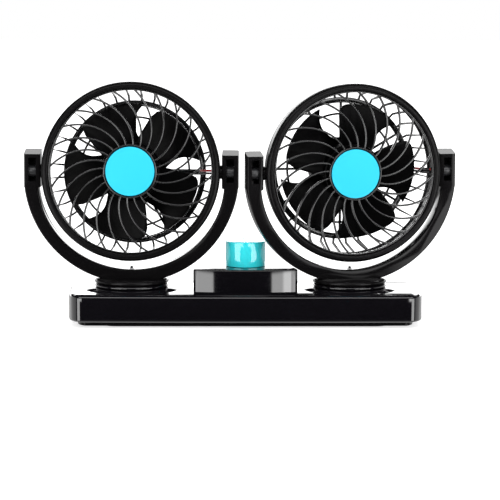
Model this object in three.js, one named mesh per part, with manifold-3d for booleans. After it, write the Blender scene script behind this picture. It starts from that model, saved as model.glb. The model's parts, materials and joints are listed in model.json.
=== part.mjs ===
// Dual head car fan: two caged fan heads in swivelling yokes, on one stick-down base with a speed knob.
// Millimetres. X runs to the viewer's right, Y to the back and Z up. The origin is the middle of the
// underside. The heads are posed as the fan stands when someone has just turned and tilted them.

import * as THREE from 'three';
import { mergeVertices } from 'three/addons/utils/BufferGeometryUtils.js';
import Module from 'manifold-3d';

const wasm = await Module();
wasm.setup();

// Fits shared by all pieces
const seatGap = 0.3;
const runningGap = 0.4;
const cutOverrun = 1;
const vertexMerge = 0.0001;

// Pose at rest, in degrees. Yaw turns a head to the viewer's right, tilt lifts its face.
const leftYaw = -3.6;
const rightYaw = 10.8;
const leftTilt = 5.6;
const rightTilt = 0;
const leftBladeTurn = 3.9;
const rightBladeTurn = 36.6;

// Base housing
const baseEndMargin = 10.9;
const baseSideMargin = 2.5;
const housingHeight = 17;
const baseWall = 2.2;
const baseTopWall = 2.4;
const baseEdgeRadius = 2;
const baseCornerWidth = 9;
const baseCornerDepth = 16;
const baseBow = 1.6;

// Skirts under the turntables
const skirtFlare = 7.5;
const skirtTopMargin = 1;
const skirtLipHeight = 0.8;
const skirtHeight = 2.6;
const skirtWaistShare = 0.45;
const skirtWaistHeightShare = 0.4;

// Turntables and their fastening
const yokeSpacingGap = 3.2;
const swivelOffset = -2.9;
const turntableRadius = 25;
const turntableHeight = 2.3;
const turntableEdgeRadius = 1.1;
const spigotRadius = 9;
const swivelScrewRadius = 1.5;
const swivelScrewHeadRadius = 2.8;
const swivelScrewHeadHeight = 1.8;
const swivelScrewTail = 0.8;
const washerOverlap = 3.5;
const washerThickness = 1.2;
const nutRadius = 3.4;
const nutHeight = 2.6;

// Bottom cover, its screws and the adhesive pad
const padEndInset = 23;
const padSideInset = 11;
const padThickness = 1;
const coverRimHeight = 3;
const padCornerRadius = 8;
const coverRimInset = 5.6;
const coverPlateThickness = 1.6;
const coverScrewInsetX = 14;
const coverScrewInsetY = 13;
const coverScrewRadius = 1.2;
const coverScrewHeadRadius = 2.4;
const coverScrewHeadHeight = 1.2;
const coverScrewLength = 9;
const bossRadius = 3.4;
const bossRootDepth = 0.6;

// Console pod
const consoleFrontHalfWidth = 35;
const consoleMidHalfWidth = 30.4;
const consoleBackHalfWidth = 22;
const consoleFront = -18;
const consoleMid = 9;
const consoleBack = 25.5;
const consoleHeight = 16.8;
const consoleWall = 2;
const consoleEdgeRadius = 1.5;
const consoleCornerRadius = 3;
const consoleBow = 1.5;

// Speed knob and the rotary switch under it
const knobX = 0.4;
const knobY = 6;
const knobRadius = 13.7;
const knobHeight = 15.8;
const knobGap = 0.5;
const knobWall = 1.8;
const knobEdgeRadius = 1.2;
const knobStemRadius = 5;
const knobMarkWidth = 1.2;
const knobMarkLength = 7;
const knobMarkDepth = 0.5;
const switchWidth = 16;
const switchHeight = 12;
const switchCollarRadius = 4.2;
const switchShaftRadius = 3;
const switchShaftRise = 9.5;
const switchShaftDepth = 3;

// Speed board with its dropper resistor, and the cord entry
const boardWidth = 36;
const boardDepth = 20;
const boardThickness = 1.6;
const boardFrontInset = 10;
const boardPostHeight = 2;
const boardPostRadius = 1.8;
const resistorLength = 22;
const resistorWidth = 7;
const resistorHeight = 6.5;
const wireOpeningWidth = 36;
const wireOpeningDepth = 28;
const glandX = 0;
const glandRadius = 3.7;
const glandBoreRadius = 1.9;
const glandFlangeRadius = 5.6;
const glandFlangeThickness = 1.4;
const glandBarrelLength = 4.2;
const glandRise = 8;

// Yokes and their pivot housings
const yokeSideGap = 2.2;
const yokeFloorGap = 5.7;
const yokeSideThickness = 10.1;
const yokeFloorThickness = 8.9;
const yokeDepth = 11;
const armRise = 14.6;
const armStraight = 6;
const armThickness = 6.5;
const housingDrop = 10.5;
const windowInnerWall = 1.5;
const windowRise = 9.2;
const windowDrop = 6.6;
const windowBackWall = 1.1;
const yokeFootThickness = 3;
const pivotCoverThickness = 2.7;
const pivotCoverEdge = 1.2;
const bushWall = 0.8;
const bushSocketDepth = 1;

// Trunnions on the bezels
const shoulderStep = 1.7;
const shoulderSetback = 1.1;
const journalWall = 1;
const journalBoreGap = 0.25;

// Bezels
const bezelRadius = 60.3;
const bezelFront = 12.2;
const bezelDepth = 17.2;
const bezelLipWidth = 6;
const bezelRearWall = 4.9;
const bezelLedgeWidth = 1.7;
const bezelLedgeSetback = 3.7;
const bezelLedgeThickness = 3.6;
const bezelNose = 2.7;
const bezelRearTaper = 2.1;

// Front guards
const ribCount = 24;
const ribThickness = 1.4;
const ribSwirl = 31.3;
const ribSwirlPower = 1.3;
const ribPhase = 9.1;
const ribSteps = 3;
const guardRimWidth = 1.5;
const guardThickness = 2.4;
const guardDome = 2;
const guardHubRadius = 18;
const capThickness = 1.3;
const capCrown = 0.35;
const capCollarWall = 0.9;
const capCollarHeight = 1.3;

// Rear guards
const cageRibCount = 36;
const cageRibWidth = 1.3;
const cageRibDepth = 2.2;
const cageDepth = 22.2;
const cageTaper = 9.6;
const cageFloorThickness = 2;
const cageFootWidth = 3;
const cageRimThickness = 2;
const cageRimWidth = 4.6;
const cageRimSetback = 0.8;

// Motor frames, which clip into the rear guards
const frameSpokeCount = 12;
const frameRingWidth = 2;
const frameMidRingShare = 2 / 3;
const frameHubFlange = 5.3;
const spokeWidth = 1.6;

// Motors, their tubes and covers
const motorRadius = 13.8;
const motorWall = 1.6;
const motorHubGap = 0.8;
const motorLength = 24.6;
const motorNoseRadius = 3;
const motorNoseHeight = 2.9;
const motorShaftRadius = 1.15;
const motorShaftEndWall = 1.3;
const motorTubeLip = 1.3;
const motorTubeLipRadius = 6;
const motorCoverWall = 1.6;
const motorCoverGap = 1.4;
const motorCoverEdge = 2.4;
const motorCoverVentRadius = 1.1;
const motorCoverVentCircle = 9;
const motorCoverVentCount = 6;

// Impellers
const bladeCount = 5;
const bladeTipGap = 2.9;
const bladeThickness = 1.5;
const bladeGapTip = 12;
const bladeOverlapRoot = 8;
const bladeGapClosesShare = 0.37;
const bladeRootRise = 7.4;
const bladeTipRise = 6.5;
const bladeMiddle = -1.6;
const bladeTipSetback = 3.4;
const bladeHollow = 12;
const bladeHollowPower = 0.8;
const bladeSteps = 4;
const bladeRings = 3;
const bladeCornerShare = 0.16;
const bladeCornerDrop = 6.5;
const hubTubeGap = 2.7;
const hubWall = 1.6;
const hubFront = 7.5;
const hubRear = -9.6;
const hubEdgeRadius = 2;
const hubBossWall = 2.15;
const hubBossGap = 2.5;

// Motor leads, from the motor cover over the cage floor and through the right trunnion
const leadRadius = 0.75;
const leadPairGap = 0.3;
const leadSides = 4;
const leadSteps = 12;
const leadHoleGap = 0.5;
const leadTubeGap = 1.3;
const leadLift = 2;
const leadBend = 3.5;
const leadTurnShare = 0.87;

// Facets
const ringSegments = 36;
const discSegments = 20;
const hubSegments = 16;
const smallSegments = 8;
const holeSegments = 6;
const collarSegments = 12;
const yokeSegments = 12;
const cornerSteps = 3;
const edgeSteps = 2;

// Colours and finishes
const blackPlastic = { color: 0x141416, roughness: 0.38, metalness: 0 };
const glossBlack = { color: 0x0b0b0d, roughness: 0.12, metalness: 0 };
const bladeBlack = { color: 0x19191b, roughness: 0.3, metalness: 0 };
const bluePlastic = { color: 0x35dcff, roughness: 0.2, metalness: 0 };
const steel = { color: 0x9fa3a8, roughness: 0.35, metalness: 1 };
const foam = { color: 0x1b1b1c, roughness: 0.95, metalness: 0 };
const acetal = { color: 0x2a2a2c, roughness: 0.45, metalness: 0 };
const rubber = { color: 0x101011, roughness: 0.85, metalness: 0 };
const boardGreen = { color: 0x1d6b3c, roughness: 0.5, metalness: 0 };
const ceramic = { color: 0xd9d5c8, roughness: 0.7, metalness: 0 };
const redLead = { color: 0xb3161b, roughness: 0.45, metalness: 0 };
const blackLead = { color: 0x111113, roughness: 0.45, metalness: 0 };

const radians = THREE.MathUtils.degToRad;

// Solids

// Position-only geometry without slivers, its faces pointing out.
function closed(geometry) {
  const bare = geometry.clone();
  for (const name of Object.keys(bare.attributes)) {
    if (name !== 'position') bare.deleteAttribute(name);
  }
  const merged = mergeVertices(bare, vertexMerge);
  const corners = merged.index.array;
  const kept = [];
  for (let i = 0; i < corners.length; i += 3) {
    const [a, b, c] = [corners[i], corners[i + 1], corners[i + 2]];
    if (a !== b && b !== c && c !== a) kept.push(a, b, c);
  }
  merged.setIndex(kept);
  if (signedVolume(merged) < 0) {
    for (let i = 0; i < kept.length; i += 3) {
      [kept[i + 1], kept[i + 2]] = [kept[i + 2], kept[i + 1]];
    }
    merged.setIndex(kept);
  }
  return merged;
}

function signedVolume(geometry) {
  const place = geometry.attributes.position;
  const index = geometry.index.array;
  const [a, b, c] = [new THREE.Vector3(), new THREE.Vector3(), new THREE.Vector3()];
  let volume = 0;
  for (let i = 0; i < index.length; i += 3) {
    a.fromBufferAttribute(place, index[i]);
    b.fromBufferAttribute(place, index[i + 1]);
    c.fromBufferAttribute(place, index[i + 2]);
    volume += a.dot(b.cross(c));
  }
  return volume;
}

function toSolid(geometry) {
  const merged = closed(geometry);
  return new wasm.Manifold(new wasm.Mesh({
    numProp: 3,
    vertProperties: new Float32Array(merged.attributes.position.array),
    triVerts: new Uint32Array(merged.index.array),
  }));
}

function fromSolid(solid) {
  const mesh = solid.getMesh();
  const geometry = new THREE.BufferGeometry();
  geometry.setAttribute('position', new THREE.BufferAttribute(new Float32Array(mesh.vertProperties), 3));
  geometry.setIndex(new THREE.BufferAttribute(new Uint32Array(mesh.triVerts), 1));
  return geometry;
}

function join(...geometries) {
  let solid = toSolid(geometries[0]);
  for (const geometry of geometries.slice(1)) solid = solid.add(toSolid(geometry));
  return fromSolid(solid);
}

function cut(body, ...tools) {
  let solid = toSolid(body);
  for (const tool of tools) solid = solid.subtract(toSolid(tool));
  return fromSolid(solid);
}

// A profile of [radius, height] pairs turned round Z.
function revolve(profile, segments = ringSegments) {
  const points = profile.map(([radius, height]) => new THREE.Vector2(radius, height));
  return new THREE.LatheGeometry(points, segments).rotateX(Math.PI / 2);
}

function tubeProfile(inner, outer, low, high) {
  return [[inner, low], [outer, low], [outer, high], [inner, high], [inner, low]];
}

function rod(radius, low, high, segments = smallSegments) {
  return revolve([[0, low], [radius, low], [radius, high], [0, high]], segments);
}

function ring(inner, outer, low, high, segments = ringSegments) {
  return revolve(tubeProfile(inner, outer, low, high), segments);
}

function block(x0, x1, y0, y1, z0, z1) {
  const box = new THREE.BoxGeometry(x1 - x0, y1 - y0, z1 - z0);
  return box.translate((x0 + x1) / 2, (y0 + y1) / 2, (z0 + z1) / 2);
}

// Turns a shape's own Z axis to X, or to Y, without mirroring it.
function alongX(geometry) {
  return geometry.applyMatrix4(new THREE.Matrix4().makeBasis(
    new THREE.Vector3(0, 1, 0), new THREE.Vector3(0, 0, 1), new THREE.Vector3(1, 0, 0)));
}

function alongY(geometry) {
  return geometry.applyMatrix4(new THREE.Matrix4().makeBasis(
    new THREE.Vector3(0, 0, 1), new THREE.Vector3(1, 0, 0), new THREE.Vector3(0, 1, 0)));
}

// Skins a stack of outlines that have the same number of points.
function loft(sections) {
  const count = sections[0].outline.length;
  const positions = [];
  for (const { outline, z } of sections) {
    for (const point of outline) positions.push(point.x, point.y, z);
  }
  const index = [];
  for (let level = 0; level < sections.length - 1; level += 1) {
    for (let i = 0; i < count; i += 1) {
      const a = level * count + i;
      const b = level * count + (i + 1) % count;
      index.push(a, b, b + count, a, b + count, a + count);
    }
  }
  const last = (sections.length - 1) * count;
  for (const [a, b, c] of THREE.ShapeUtils.triangulateShape(sections[0].outline, [])) {
    index.push(a, c, b);
  }
  for (const [a, b, c] of THREE.ShapeUtils.triangulateShape(sections.at(-1).outline, [])) {
    index.push(last + a, last + b, last + c);
  }
  const geometry = new THREE.BufferGeometry();
  geometry.setAttribute('position', new THREE.Float32BufferAttribute(positions, 3));
  geometry.setIndex(index);
  return geometry;
}

// Moves each side of a counterclockwise convex outline inwards by the same distance.
function inset(outline, distance) {
  return outline.map((point, i) => {
    const before = outline[(i + outline.length - 1) % outline.length];
    const after = outline[(i + 1) % outline.length];
    const into = point.clone().sub(before).normalize();
    const out = after.clone().sub(point).normalize();
    const normal = new THREE.Vector2(-into.y - out.y, into.x + out.x);
    const reach = normal.lengthSq() / 2;
    return point.clone().addScaledVector(normal, distance / reach);
  });
}

// Outlines for a wall that ends in a rounded top edge.
function roundedStack(outline, low, high, edge) {
  const sections = [{ outline, z: low }];
  for (let i = 0; i <= edgeSteps; i += 1) {
    const turn = (i / edgeSteps) * (Math.PI / 2);
    sections.push({
      outline: inset(outline, edge * (1 - Math.cos(turn))),
      z: high - edge * (1 - Math.sin(turn)),
    });
  }
  return sections;
}

const group = new THREE.Group();

function piece(parent, name, geometry, finish) {
  const solid = closed(geometry);
  solid.computeVertexNormals();
  const mesh = new THREE.Mesh(solid, new THREE.MeshStandardMaterial({ ...finish, flatShading: true }));
  mesh.name = name;
  parent.add(mesh);
}

// Sizes worked out from the ones above: leads, journals, bezels, yokes and base, each round the one before
const leadSpacing = 2 * leadRadius + leadPairGap;
const leadHoleRadius = leadRadius + leadHoleGap;
const journalBoreRadius = leadSpacing / 2 + leadRadius + journalBoreGap;
const journalRadius = journalBoreRadius + journalWall;
const shoulderRadius = journalRadius + shoulderStep;
const bezelRear = bezelFront - bezelDepth;
const bezelMouthRadius = bezelRadius - bezelLipWidth;
const bezelRearBoreRadius = bezelRadius - bezelRearWall;
const bezelLedgeRadius = bezelMouthRadius - bezelLedgeWidth;
const bezelLedgeFront = bezelFront - bezelLedgeSetback;
const shoulderRoot = bezelRearBoreRadius + shoulderSetback;
const yokeInnerHalfWidth = bezelRadius + yokeSideGap;
const yokeInnerDrop = bezelRadius + yokeFloorGap;
const yokeOuterHalfWidth = yokeInnerHalfWidth + yokeSideThickness;
const yokeOuterDrop = yokeInnerDrop + yokeFloorThickness;
const armBodyHalfWidth = yokeInnerHalfWidth + armThickness;
const windowInnerHalfWidth = yokeInnerHalfWidth + windowInnerWall;
const pivotCoverInner = armBodyHalfWidth + seatGap;
const swivelSpacing = 2 * (pivotCoverInner + pivotCoverThickness) + yokeSpacingGap;
const skirtTopRadius = turntableRadius + skirtTopMargin;
const skirtRadius = skirtTopRadius + skirtFlare;
const baseWidth = swivelSpacing + 2 * (skirtRadius + baseEndMargin);
const baseDepth = 2 * (skirtRadius + baseSideMargin);
const padWidth = baseWidth - 2 * padEndInset;
const padDepth = baseDepth - 2 * padSideInset;
const boardY = -baseDepth / 2 + boardFrontInset + boardDepth / 2;
const coverBottom = padThickness;
const housingFoot = coverBottom + coverRimHeight;
const baseTop = housingFoot + housingHeight;
const glandHeight = housingFoot + glandRise;
const consoleTop = baseTop + consoleHeight;

// Places worked out from them
const swivelX = { left: swivelOffset - swivelSpacing / 2, right: swivelOffset + swivelSpacing / 2 };
const topUnderside = baseTop - baseTopWall;
const skirtTop = baseTop + skirtHeight;
const turntableBottom = skirtTop + seatGap;
const turntableTop = turntableBottom + turntableHeight;
const footBottom = turntableTop + seatGap;
const pivotHeight = footBottom + yokeOuterDrop;
const screwSeat = pivotHeight - yokeInnerDrop;
const washerRadius = spigotRadius + washerOverlap;
const washerTop = topUnderside - seatGap;
const nutTop = washerTop - washerThickness - seatGap;
const coverPlateTop = housingFoot + coverPlateThickness;
const bossBottom = coverPlateTop + seatGap;
const screwHoleRadius = swivelScrewRadius + seatGap;
const coverScrewX = baseWidth / 2 - coverScrewInsetX;
const coverScrewY = baseDepth / 2 - coverScrewInsetY;
const bushInner = journalRadius + seatGap;
const bushOuter = bushInner + bushWall;
const bushHole = bushOuter + seatGap;
const bushEnd = pivotCoverInner + bushSocketDepth - seatGap;

// Base

function baseOutline() {
  const points = [];
  const halfWidth = baseWidth / 2;
  const halfDepth = baseDepth / 2;
  const straight = halfWidth - baseCornerWidth;
  const corner = (signX, signY, start) => {
    const reach = signY < 0 ? halfDepth - baseBow : halfDepth;
    for (let i = 0; i <= cornerSteps; i += 1) {
      const turn = start + (i / cornerSteps) * (Math.PI / 2);
      points.push(new THREE.Vector2(
        signX * straight + baseCornerWidth * Math.cos(turn),
        signY * (reach - baseCornerDepth) + baseCornerDepth * Math.sin(turn)));
    }
  };
  corner(-1, -1, Math.PI);
  const bowSteps = 2 * cornerSteps;
  for (let i = 1; i < bowSteps; i += 1) {
    const along = 2 * (i / bowSteps) - 1;
    points.push(new THREE.Vector2(along * straight, -halfDepth + baseBow * along * along));
  }
  corner(1, -1, 1.5 * Math.PI);
  corner(1, 1, 0);
  corner(-1, 1, 0.5 * Math.PI);
  return points;
}

function consoleOutline() {
  const shape = new THREE.Shape();
  const r = consoleCornerRadius;
  shape.moveTo(-consoleFrontHalfWidth + r, consoleFront);
  shape.quadraticCurveTo(0, consoleFront - 2 * consoleBow, consoleFrontHalfWidth - r, consoleFront);
  shape.quadraticCurveTo(consoleFrontHalfWidth, consoleFront, consoleFrontHalfWidth, consoleFront + r);
  shape.lineTo(consoleMidHalfWidth, consoleMid);
  shape.quadraticCurveTo(consoleMidHalfWidth - r / 2, consoleBack - r / 2, consoleBackHalfWidth, consoleBack);
  shape.lineTo(-consoleBackHalfWidth, consoleBack);
  shape.quadraticCurveTo(-consoleMidHalfWidth + r / 2, consoleBack - r / 2, -consoleMidHalfWidth, consoleMid);
  shape.lineTo(-consoleFrontHalfWidth, consoleFront + r);
  shape.quadraticCurveTo(-consoleFrontHalfWidth, consoleFront, -consoleFrontHalfWidth + r, consoleFront);
  const points = shape.getPoints(cornerSteps);
  points.pop();
  return points;
}

function coverScrewPlaces() {
  const places = [];
  for (const signX of [-1, 1]) {
    for (const signY of [-1, 1]) places.push([signX * coverScrewX, signY * coverScrewY]);
  }
  return places;
}

function baseHousing() {
  const outer = loft(roundedStack(baseOutline(), housingFoot, baseTop, baseEdgeRadius));
  const inner = inset(baseOutline(), baseWall);
  const cavity = loft([{ outline: inner, z: housingFoot - cutOverrun }, { outline: inner, z: topUnderside }]);
  const waist = skirtTopRadius + (skirtRadius - skirtTopRadius) * skirtWaistShare;
  const skirts = Object.values(swivelX).map((x) => revolve([
    [0, baseTop - skirtLipHeight],
    [skirtRadius, baseTop - skirtLipHeight],
    [waist, baseTop + skirtHeight * skirtWaistHeightShare],
    [skirtTopRadius, skirtTop],
    [0, skirtTop],
  ], discSegments).translate(x, 0, 0));
  const shell = cut(join(outer, ...skirts), cavity);
  const bosses = coverScrewPlaces().map(([x, y]) => (
    rod(bossRadius, bossBottom, topUnderside + bossRootDepth, holeSegments).translate(x, y, 0)));
  const pilots = coverScrewPlaces().map(([x, y]) => (
    rod(coverScrewRadius + seatGap, bossBottom - cutOverrun, coverPlateTop + coverScrewLength + seatGap, holeSegments)
      .translate(x, y, 0)));
  const bores = Object.values(swivelX).map((x) => (
    rod(spigotRadius + runningGap, topUnderside - cutOverrun, skirtTop + cutOverrun, hubSegments)
      .translate(x, 0, 0)));
  const opening = block(
    knobX - wireOpeningWidth / 2, knobX + wireOpeningWidth / 2,
    knobY - wireOpeningDepth / 2, knobY + wireOpeningDepth / 2,
    topUnderside - cutOverrun, baseTop + cutOverrun);
  const cordHole = alongY(rod(glandRadius + seatGap, baseDepth / 2 - 2 * baseWall, baseDepth / 2 + cutOverrun))
    .translate(glandX, 0, glandHeight);
  return cut(join(shell, ...bosses), ...pilots, ...bores, opening, cordHole);
}

function baseCover() {
  const plate = inset(baseOutline(), baseWall + seatGap);
  const rim = inset(baseOutline(), coverRimInset);
  const body = join(
    loft([{ outline: plate, z: housingFoot }, { outline: plate, z: coverPlateTop }]),
    loft([{ outline: rim, z: coverBottom }, { outline: rim, z: coverPlateTop }]));
  const posts = [];
  for (const signX of [-1, 1]) {
    for (const signY of [-1, 1]) {
      posts.push(rod(boardPostRadius, housingFoot, coverPlateTop + boardPostHeight, holeSegments).translate(
        signX * (boardWidth / 2 - boardPostRadius), boardY + signY * (boardDepth / 2 - boardPostRadius), 0));
    }
  }
  const holes = coverScrewPlaces().flatMap(([x, y]) => [
    rod(coverScrewRadius + seatGap, coverBottom - cutOverrun, coverPlateTop + cutOverrun, holeSegments)
      .translate(x, y, 0),
    rod(coverScrewHeadRadius + seatGap, coverBottom - cutOverrun, coverBottom + coverScrewHeadHeight + seatGap)
      .translate(x, y, 0)]);
  return cut(join(body, ...posts), ...holes);
}

function adhesivePad() {
  const shape = new THREE.Shape();
  const [x, y, r] = [padWidth / 2, padDepth / 2, padCornerRadius];
  shape.moveTo(-x + r, -y);
  shape.lineTo(x - r, -y);
  shape.absarc(x - r, -y + r, r, -Math.PI / 2, 0);
  shape.absarc(x - r, y - r, r, 0, Math.PI / 2);
  shape.absarc(-x + r, y - r, r, Math.PI / 2, Math.PI);
  shape.absarc(-x + r, -y + r, r, Math.PI, 1.5 * Math.PI);
  return new THREE.ExtrudeGeometry(shape, { depth: padThickness, bevelEnabled: false, curveSegments: cornerSteps });
}

function coverScrew(x, y) {
  const headTop = coverBottom + coverScrewHeadHeight;
  return revolve([
    [0, headTop - coverScrewHeadHeight],
    [coverScrewHeadRadius, headTop - coverScrewHeadHeight],
    [coverScrewHeadRadius, headTop],
    [coverScrewRadius, headTop],
    [coverScrewRadius, coverPlateTop + coverScrewLength],
    [0, coverPlateTop + coverScrewLength],
  ], holeSegments).translate(x, y, 0);
}

function consoleCover() {
  const outline = consoleOutline();
  const outer = loft(roundedStack(outline, baseTop, consoleTop, consoleEdgeRadius));
  const inner = inset(outline, consoleWall);
  const cavity = loft([
    { outline: inner, z: baseTop - cutOverrun },
    { outline: inner, z: consoleTop - consoleWall }]);
  const hole = rod(switchCollarRadius + seatGap, baseTop, consoleTop + cutOverrun).translate(knobX, knobY, 0);
  return cut(outer, cavity, hole);
}

function rotarySwitch() {
  const top = consoleTop - consoleWall;
  const half = switchWidth / 2;
  const body = join(
    block(-half, half, -half, half, top - switchHeight, top),
    rod(switchCollarRadius, top - switchHeight / 2, consoleTop));
  const shaftHole = rod(switchShaftRadius + seatGap, consoleTop - switchShaftDepth - seatGap,
    consoleTop + cutOverrun);
  return cut(body, shaftHole).translate(knobX, knobY, 0);
}

const knobBottom = consoleTop + knobGap;
const knobTop = knobBottom + knobHeight;
const shaftTop = consoleTop + switchShaftRise;

function speedKnob() {
  const e = knobEdgeRadius;
  const ceiling = knobTop - knobWall;
  const body = revolve([
    [0, shaftTop + seatGap],
    [switchShaftRadius + seatGap, shaftTop + seatGap],
    [switchShaftRadius + seatGap, knobBottom],
    [knobStemRadius, knobBottom],
    [knobStemRadius, ceiling],
    [knobRadius - knobWall, ceiling],
    [knobRadius - knobWall, knobBottom],
    [knobRadius, knobBottom],
    [knobRadius, knobTop - e],
    [knobRadius - e * (1 - Math.SQRT1_2), knobTop - e * (1 - Math.SQRT1_2)],
    [knobRadius - e, knobTop],
    [0, knobTop],
  ], discSegments);
  const mark = block(-knobMarkWidth / 2, knobMarkWidth / 2,
    -knobRadius + e, -knobRadius + e + knobMarkLength,
    knobTop - knobMarkDepth, knobTop + cutOverrun);
  return cut(body, mark).translate(knobX, knobY, 0);
}

function speedBoard() {
  const low = coverPlateTop + boardPostHeight;
  return block(-boardWidth / 2, boardWidth / 2, boardY - boardDepth / 2, boardY + boardDepth / 2,
    low, low + boardThickness);
}

function dropperResistor() {
  const low = coverPlateTop + boardPostHeight + boardThickness;
  return block(-resistorLength / 2, resistorLength / 2, boardY - resistorWidth / 2,
    boardY + resistorWidth / 2, low, low + resistorHeight);
}

function cordGland() {
  const back = baseDepth / 2;
  return alongY(revolve([
    [glandBoreRadius, back - glandBarrelLength],
    [glandRadius, back - glandBarrelLength],
    [glandRadius, back],
    [glandFlangeRadius, back],
    [glandFlangeRadius, back + glandFlangeThickness / 2],
    [glandRadius, back + glandFlangeThickness],
    [glandBoreRadius, back + glandFlangeThickness],
    [glandBoreRadius, back - glandBarrelLength],
  ], smallSegments)).translate(glandX, 0, glandHeight);
}

// Swivelling parts, with Z measured from the surface

function turntable() {
  const e = turntableEdgeRadius;
  const r = turntableRadius;
  return revolve([
    [screwHoleRadius, topUnderside],
    [spigotRadius, topUnderside],
    [spigotRadius, turntableBottom],
    [r - e, turntableBottom],
    [r, (turntableBottom + turntableTop) / 2],
    [r - e, turntableTop],
    [screwHoleRadius, turntableTop],
    [screwHoleRadius, topUnderside],
  ], discSegments);
}

function yoke() {
  const shape = new THREE.Shape();
  shape.moveTo(-yokeInnerHalfWidth, armRise);
  shape.lineTo(-yokeInnerHalfWidth, -armStraight);
  shape.absellipse(0, -armStraight, yokeInnerHalfWidth, yokeInnerDrop - armStraight, Math.PI, 2 * Math.PI, false);
  shape.lineTo(yokeInnerHalfWidth, armRise);
  shape.lineTo(armBodyHalfWidth, armRise);
  shape.lineTo(armBodyHalfWidth, -housingDrop);
  const start = -Math.asin(housingDrop / yokeOuterDrop);
  shape.lineTo(yokeOuterHalfWidth * Math.cos(start), -housingDrop);
  shape.absellipse(0, 0, yokeOuterHalfWidth, yokeOuterDrop, start, -Math.PI - start, true);
  shape.lineTo(-armBodyHalfWidth, -housingDrop);
  shape.lineTo(-armBodyHalfWidth, armRise);
  const arc = new THREE.ExtrudeGeometry(shape, {
    depth: yokeDepth, bevelEnabled: false, curveSegments: yokeSegments,
  });
  arc.translate(0, 0, -yokeDepth / 2).rotateX(Math.PI / 2).translate(0, 0, pivotHeight);
  const e = turntableEdgeRadius;
  const foot = revolve([
    [0, footBottom],
    [turntableRadius - e, footBottom],
    [turntableRadius, footBottom + yokeFootThickness / 2],
    [turntableRadius - e, footBottom + yokeFootThickness],
    [0, footBottom + yokeFootThickness],
  ], discSegments);
  const tools = [rod(screwHoleRadius, footBottom - cutOverrun, screwSeat + cutOverrun)];
  for (const sign of [-1, 1]) {
    const sides = [sign * windowInnerHalfWidth, sign * (armBodyHalfWidth + cutOverrun)].sort((a, b2) => a - b2);
    tools.push(block(sides[0], sides[1],
      -yokeDepth / 2 - cutOverrun, yokeDepth / 2 - windowBackWall,
      pivotHeight - windowDrop, pivotHeight + windowRise));
    const bore = alongX(rod(bushHole, yokeInnerHalfWidth - cutOverrun, windowInnerHalfWidth + cutOverrun,
      collarSegments));
    if (sign < 0) bore.rotateZ(Math.PI);
    tools.push(bore.translate(0, 0, pivotHeight));
  }
  return cut(join(arc, foot), ...tools);
}

// Plate over the outer side of one pivot housing, with the socket that holds the bush.
function pivotCover(sign) {
  const [h, e] = [yokeDepth / 2, pivotCoverEdge];
  const low = -housingDrop + seatGap;
  const shape = new THREE.Shape();
  shape.moveTo(-h, low);
  shape.lineTo(h, low);
  shape.lineTo(h, armRise - e);
  shape.quadraticCurveTo(h, armRise, h - e, armRise);
  shape.lineTo(-h + e, armRise);
  shape.quadraticCurveTo(-h, armRise, -h, armRise - e);
  const plate = new THREE.ExtrudeGeometry(shape, {
    depth: pivotCoverThickness, bevelEnabled: false, curveSegments: edgeSteps,
  });
  alongX(plate).translate(pivotCoverInner, 0, 0);
  const socket = alongX(rod(bushHole, pivotCoverInner - cutOverrun, pivotCoverInner + bushSocketDepth));
  const cover = cut(plate, socket);
  if (sign < 0) cover.rotateZ(Math.PI);
  return cover.translate(0, 0, pivotHeight);
}

function pivotBush(sign) {
  const bush = alongX(ring(bushInner, bushOuter, yokeInnerHalfWidth + seatGap, bushEnd, smallSegments));
  if (sign < 0) bush.rotateZ(Math.PI);
  return bush.translate(0, 0, pivotHeight);
}

const nutBottom = nutTop - nutHeight;

function swivelScrew() {
  const seat = screwSeat + seatGap;
  return revolve([
    [0, nutBottom - swivelScrewTail],
    [swivelScrewRadius, nutBottom - swivelScrewTail],
    [swivelScrewRadius, seat],
    [swivelScrewHeadRadius, seat],
    [swivelScrewHeadRadius, seat + swivelScrewHeadHeight / 2],
    [swivelScrewHeadRadius / 2, seat + swivelScrewHeadHeight],
    [0, seat + swivelScrewHeadHeight],
  ], holeSegments);
}

function swivelNut() {
  return revolve(tubeProfile(screwHoleRadius, nutRadius, nutBottom, nutTop), 6);
}

// Head parts, with Z along the fan's axis to the front and the tilt axis along X at the origin

function bezel() {
  const n = bezelNose;
  const body = revolve([
    [bezelRearBoreRadius, bezelRear],
    [bezelRadius - bezelRearTaper, bezelRear],
    [bezelRadius, bezelFront - 2 * n],
    [bezelRadius - n * (1 - Math.SQRT1_2), bezelFront - n * (1 - Math.SQRT1_2)],
    [bezelRadius - n, bezelFront],
    [bezelMouthRadius, bezelFront - n * (1 - Math.SQRT1_2)],
    [bezelMouthRadius, bezelLedgeFront],
    [bezelLedgeRadius, bezelLedgeFront],
    [bezelRearBoreRadius, bezelLedgeFront - bezelLedgeThickness],
    [bezelRearBoreRadius, bezelRear],
  ]);
  const trunnions = [0, Math.PI].map((turn) => alongX(revolve([
    [0, shoulderRoot],
    [shoulderRadius, shoulderRoot],
    [shoulderRadius, yokeInnerHalfWidth - seatGap],
    [journalRadius, yokeInnerHalfWidth - seatGap],
    [journalRadius, bushEnd],
    [0, bushEnd],
  ], smallSegments)).rotateZ(turn));
  const bores = [0, Math.PI].map((turn) => (
    alongX(rod(journalBoreRadius, bezelLedgeRadius, bushEnd + cutOverrun)).rotateZ(turn)));
  return cut(join(body, ...trunnions), ...bores);
}

const guardRimRadius = bezelMouthRadius - seatGap;
const guardRimInner = guardRimRadius - guardRimWidth;
const guardSeat = bezelLedgeFront + seatGap;
const guardHubFront = guardSeat + guardThickness + guardDome;
const collarRadius = guardHubRadius - seatGap;
const capRadius = collarRadius - capCollarWall - runningGap;

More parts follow.
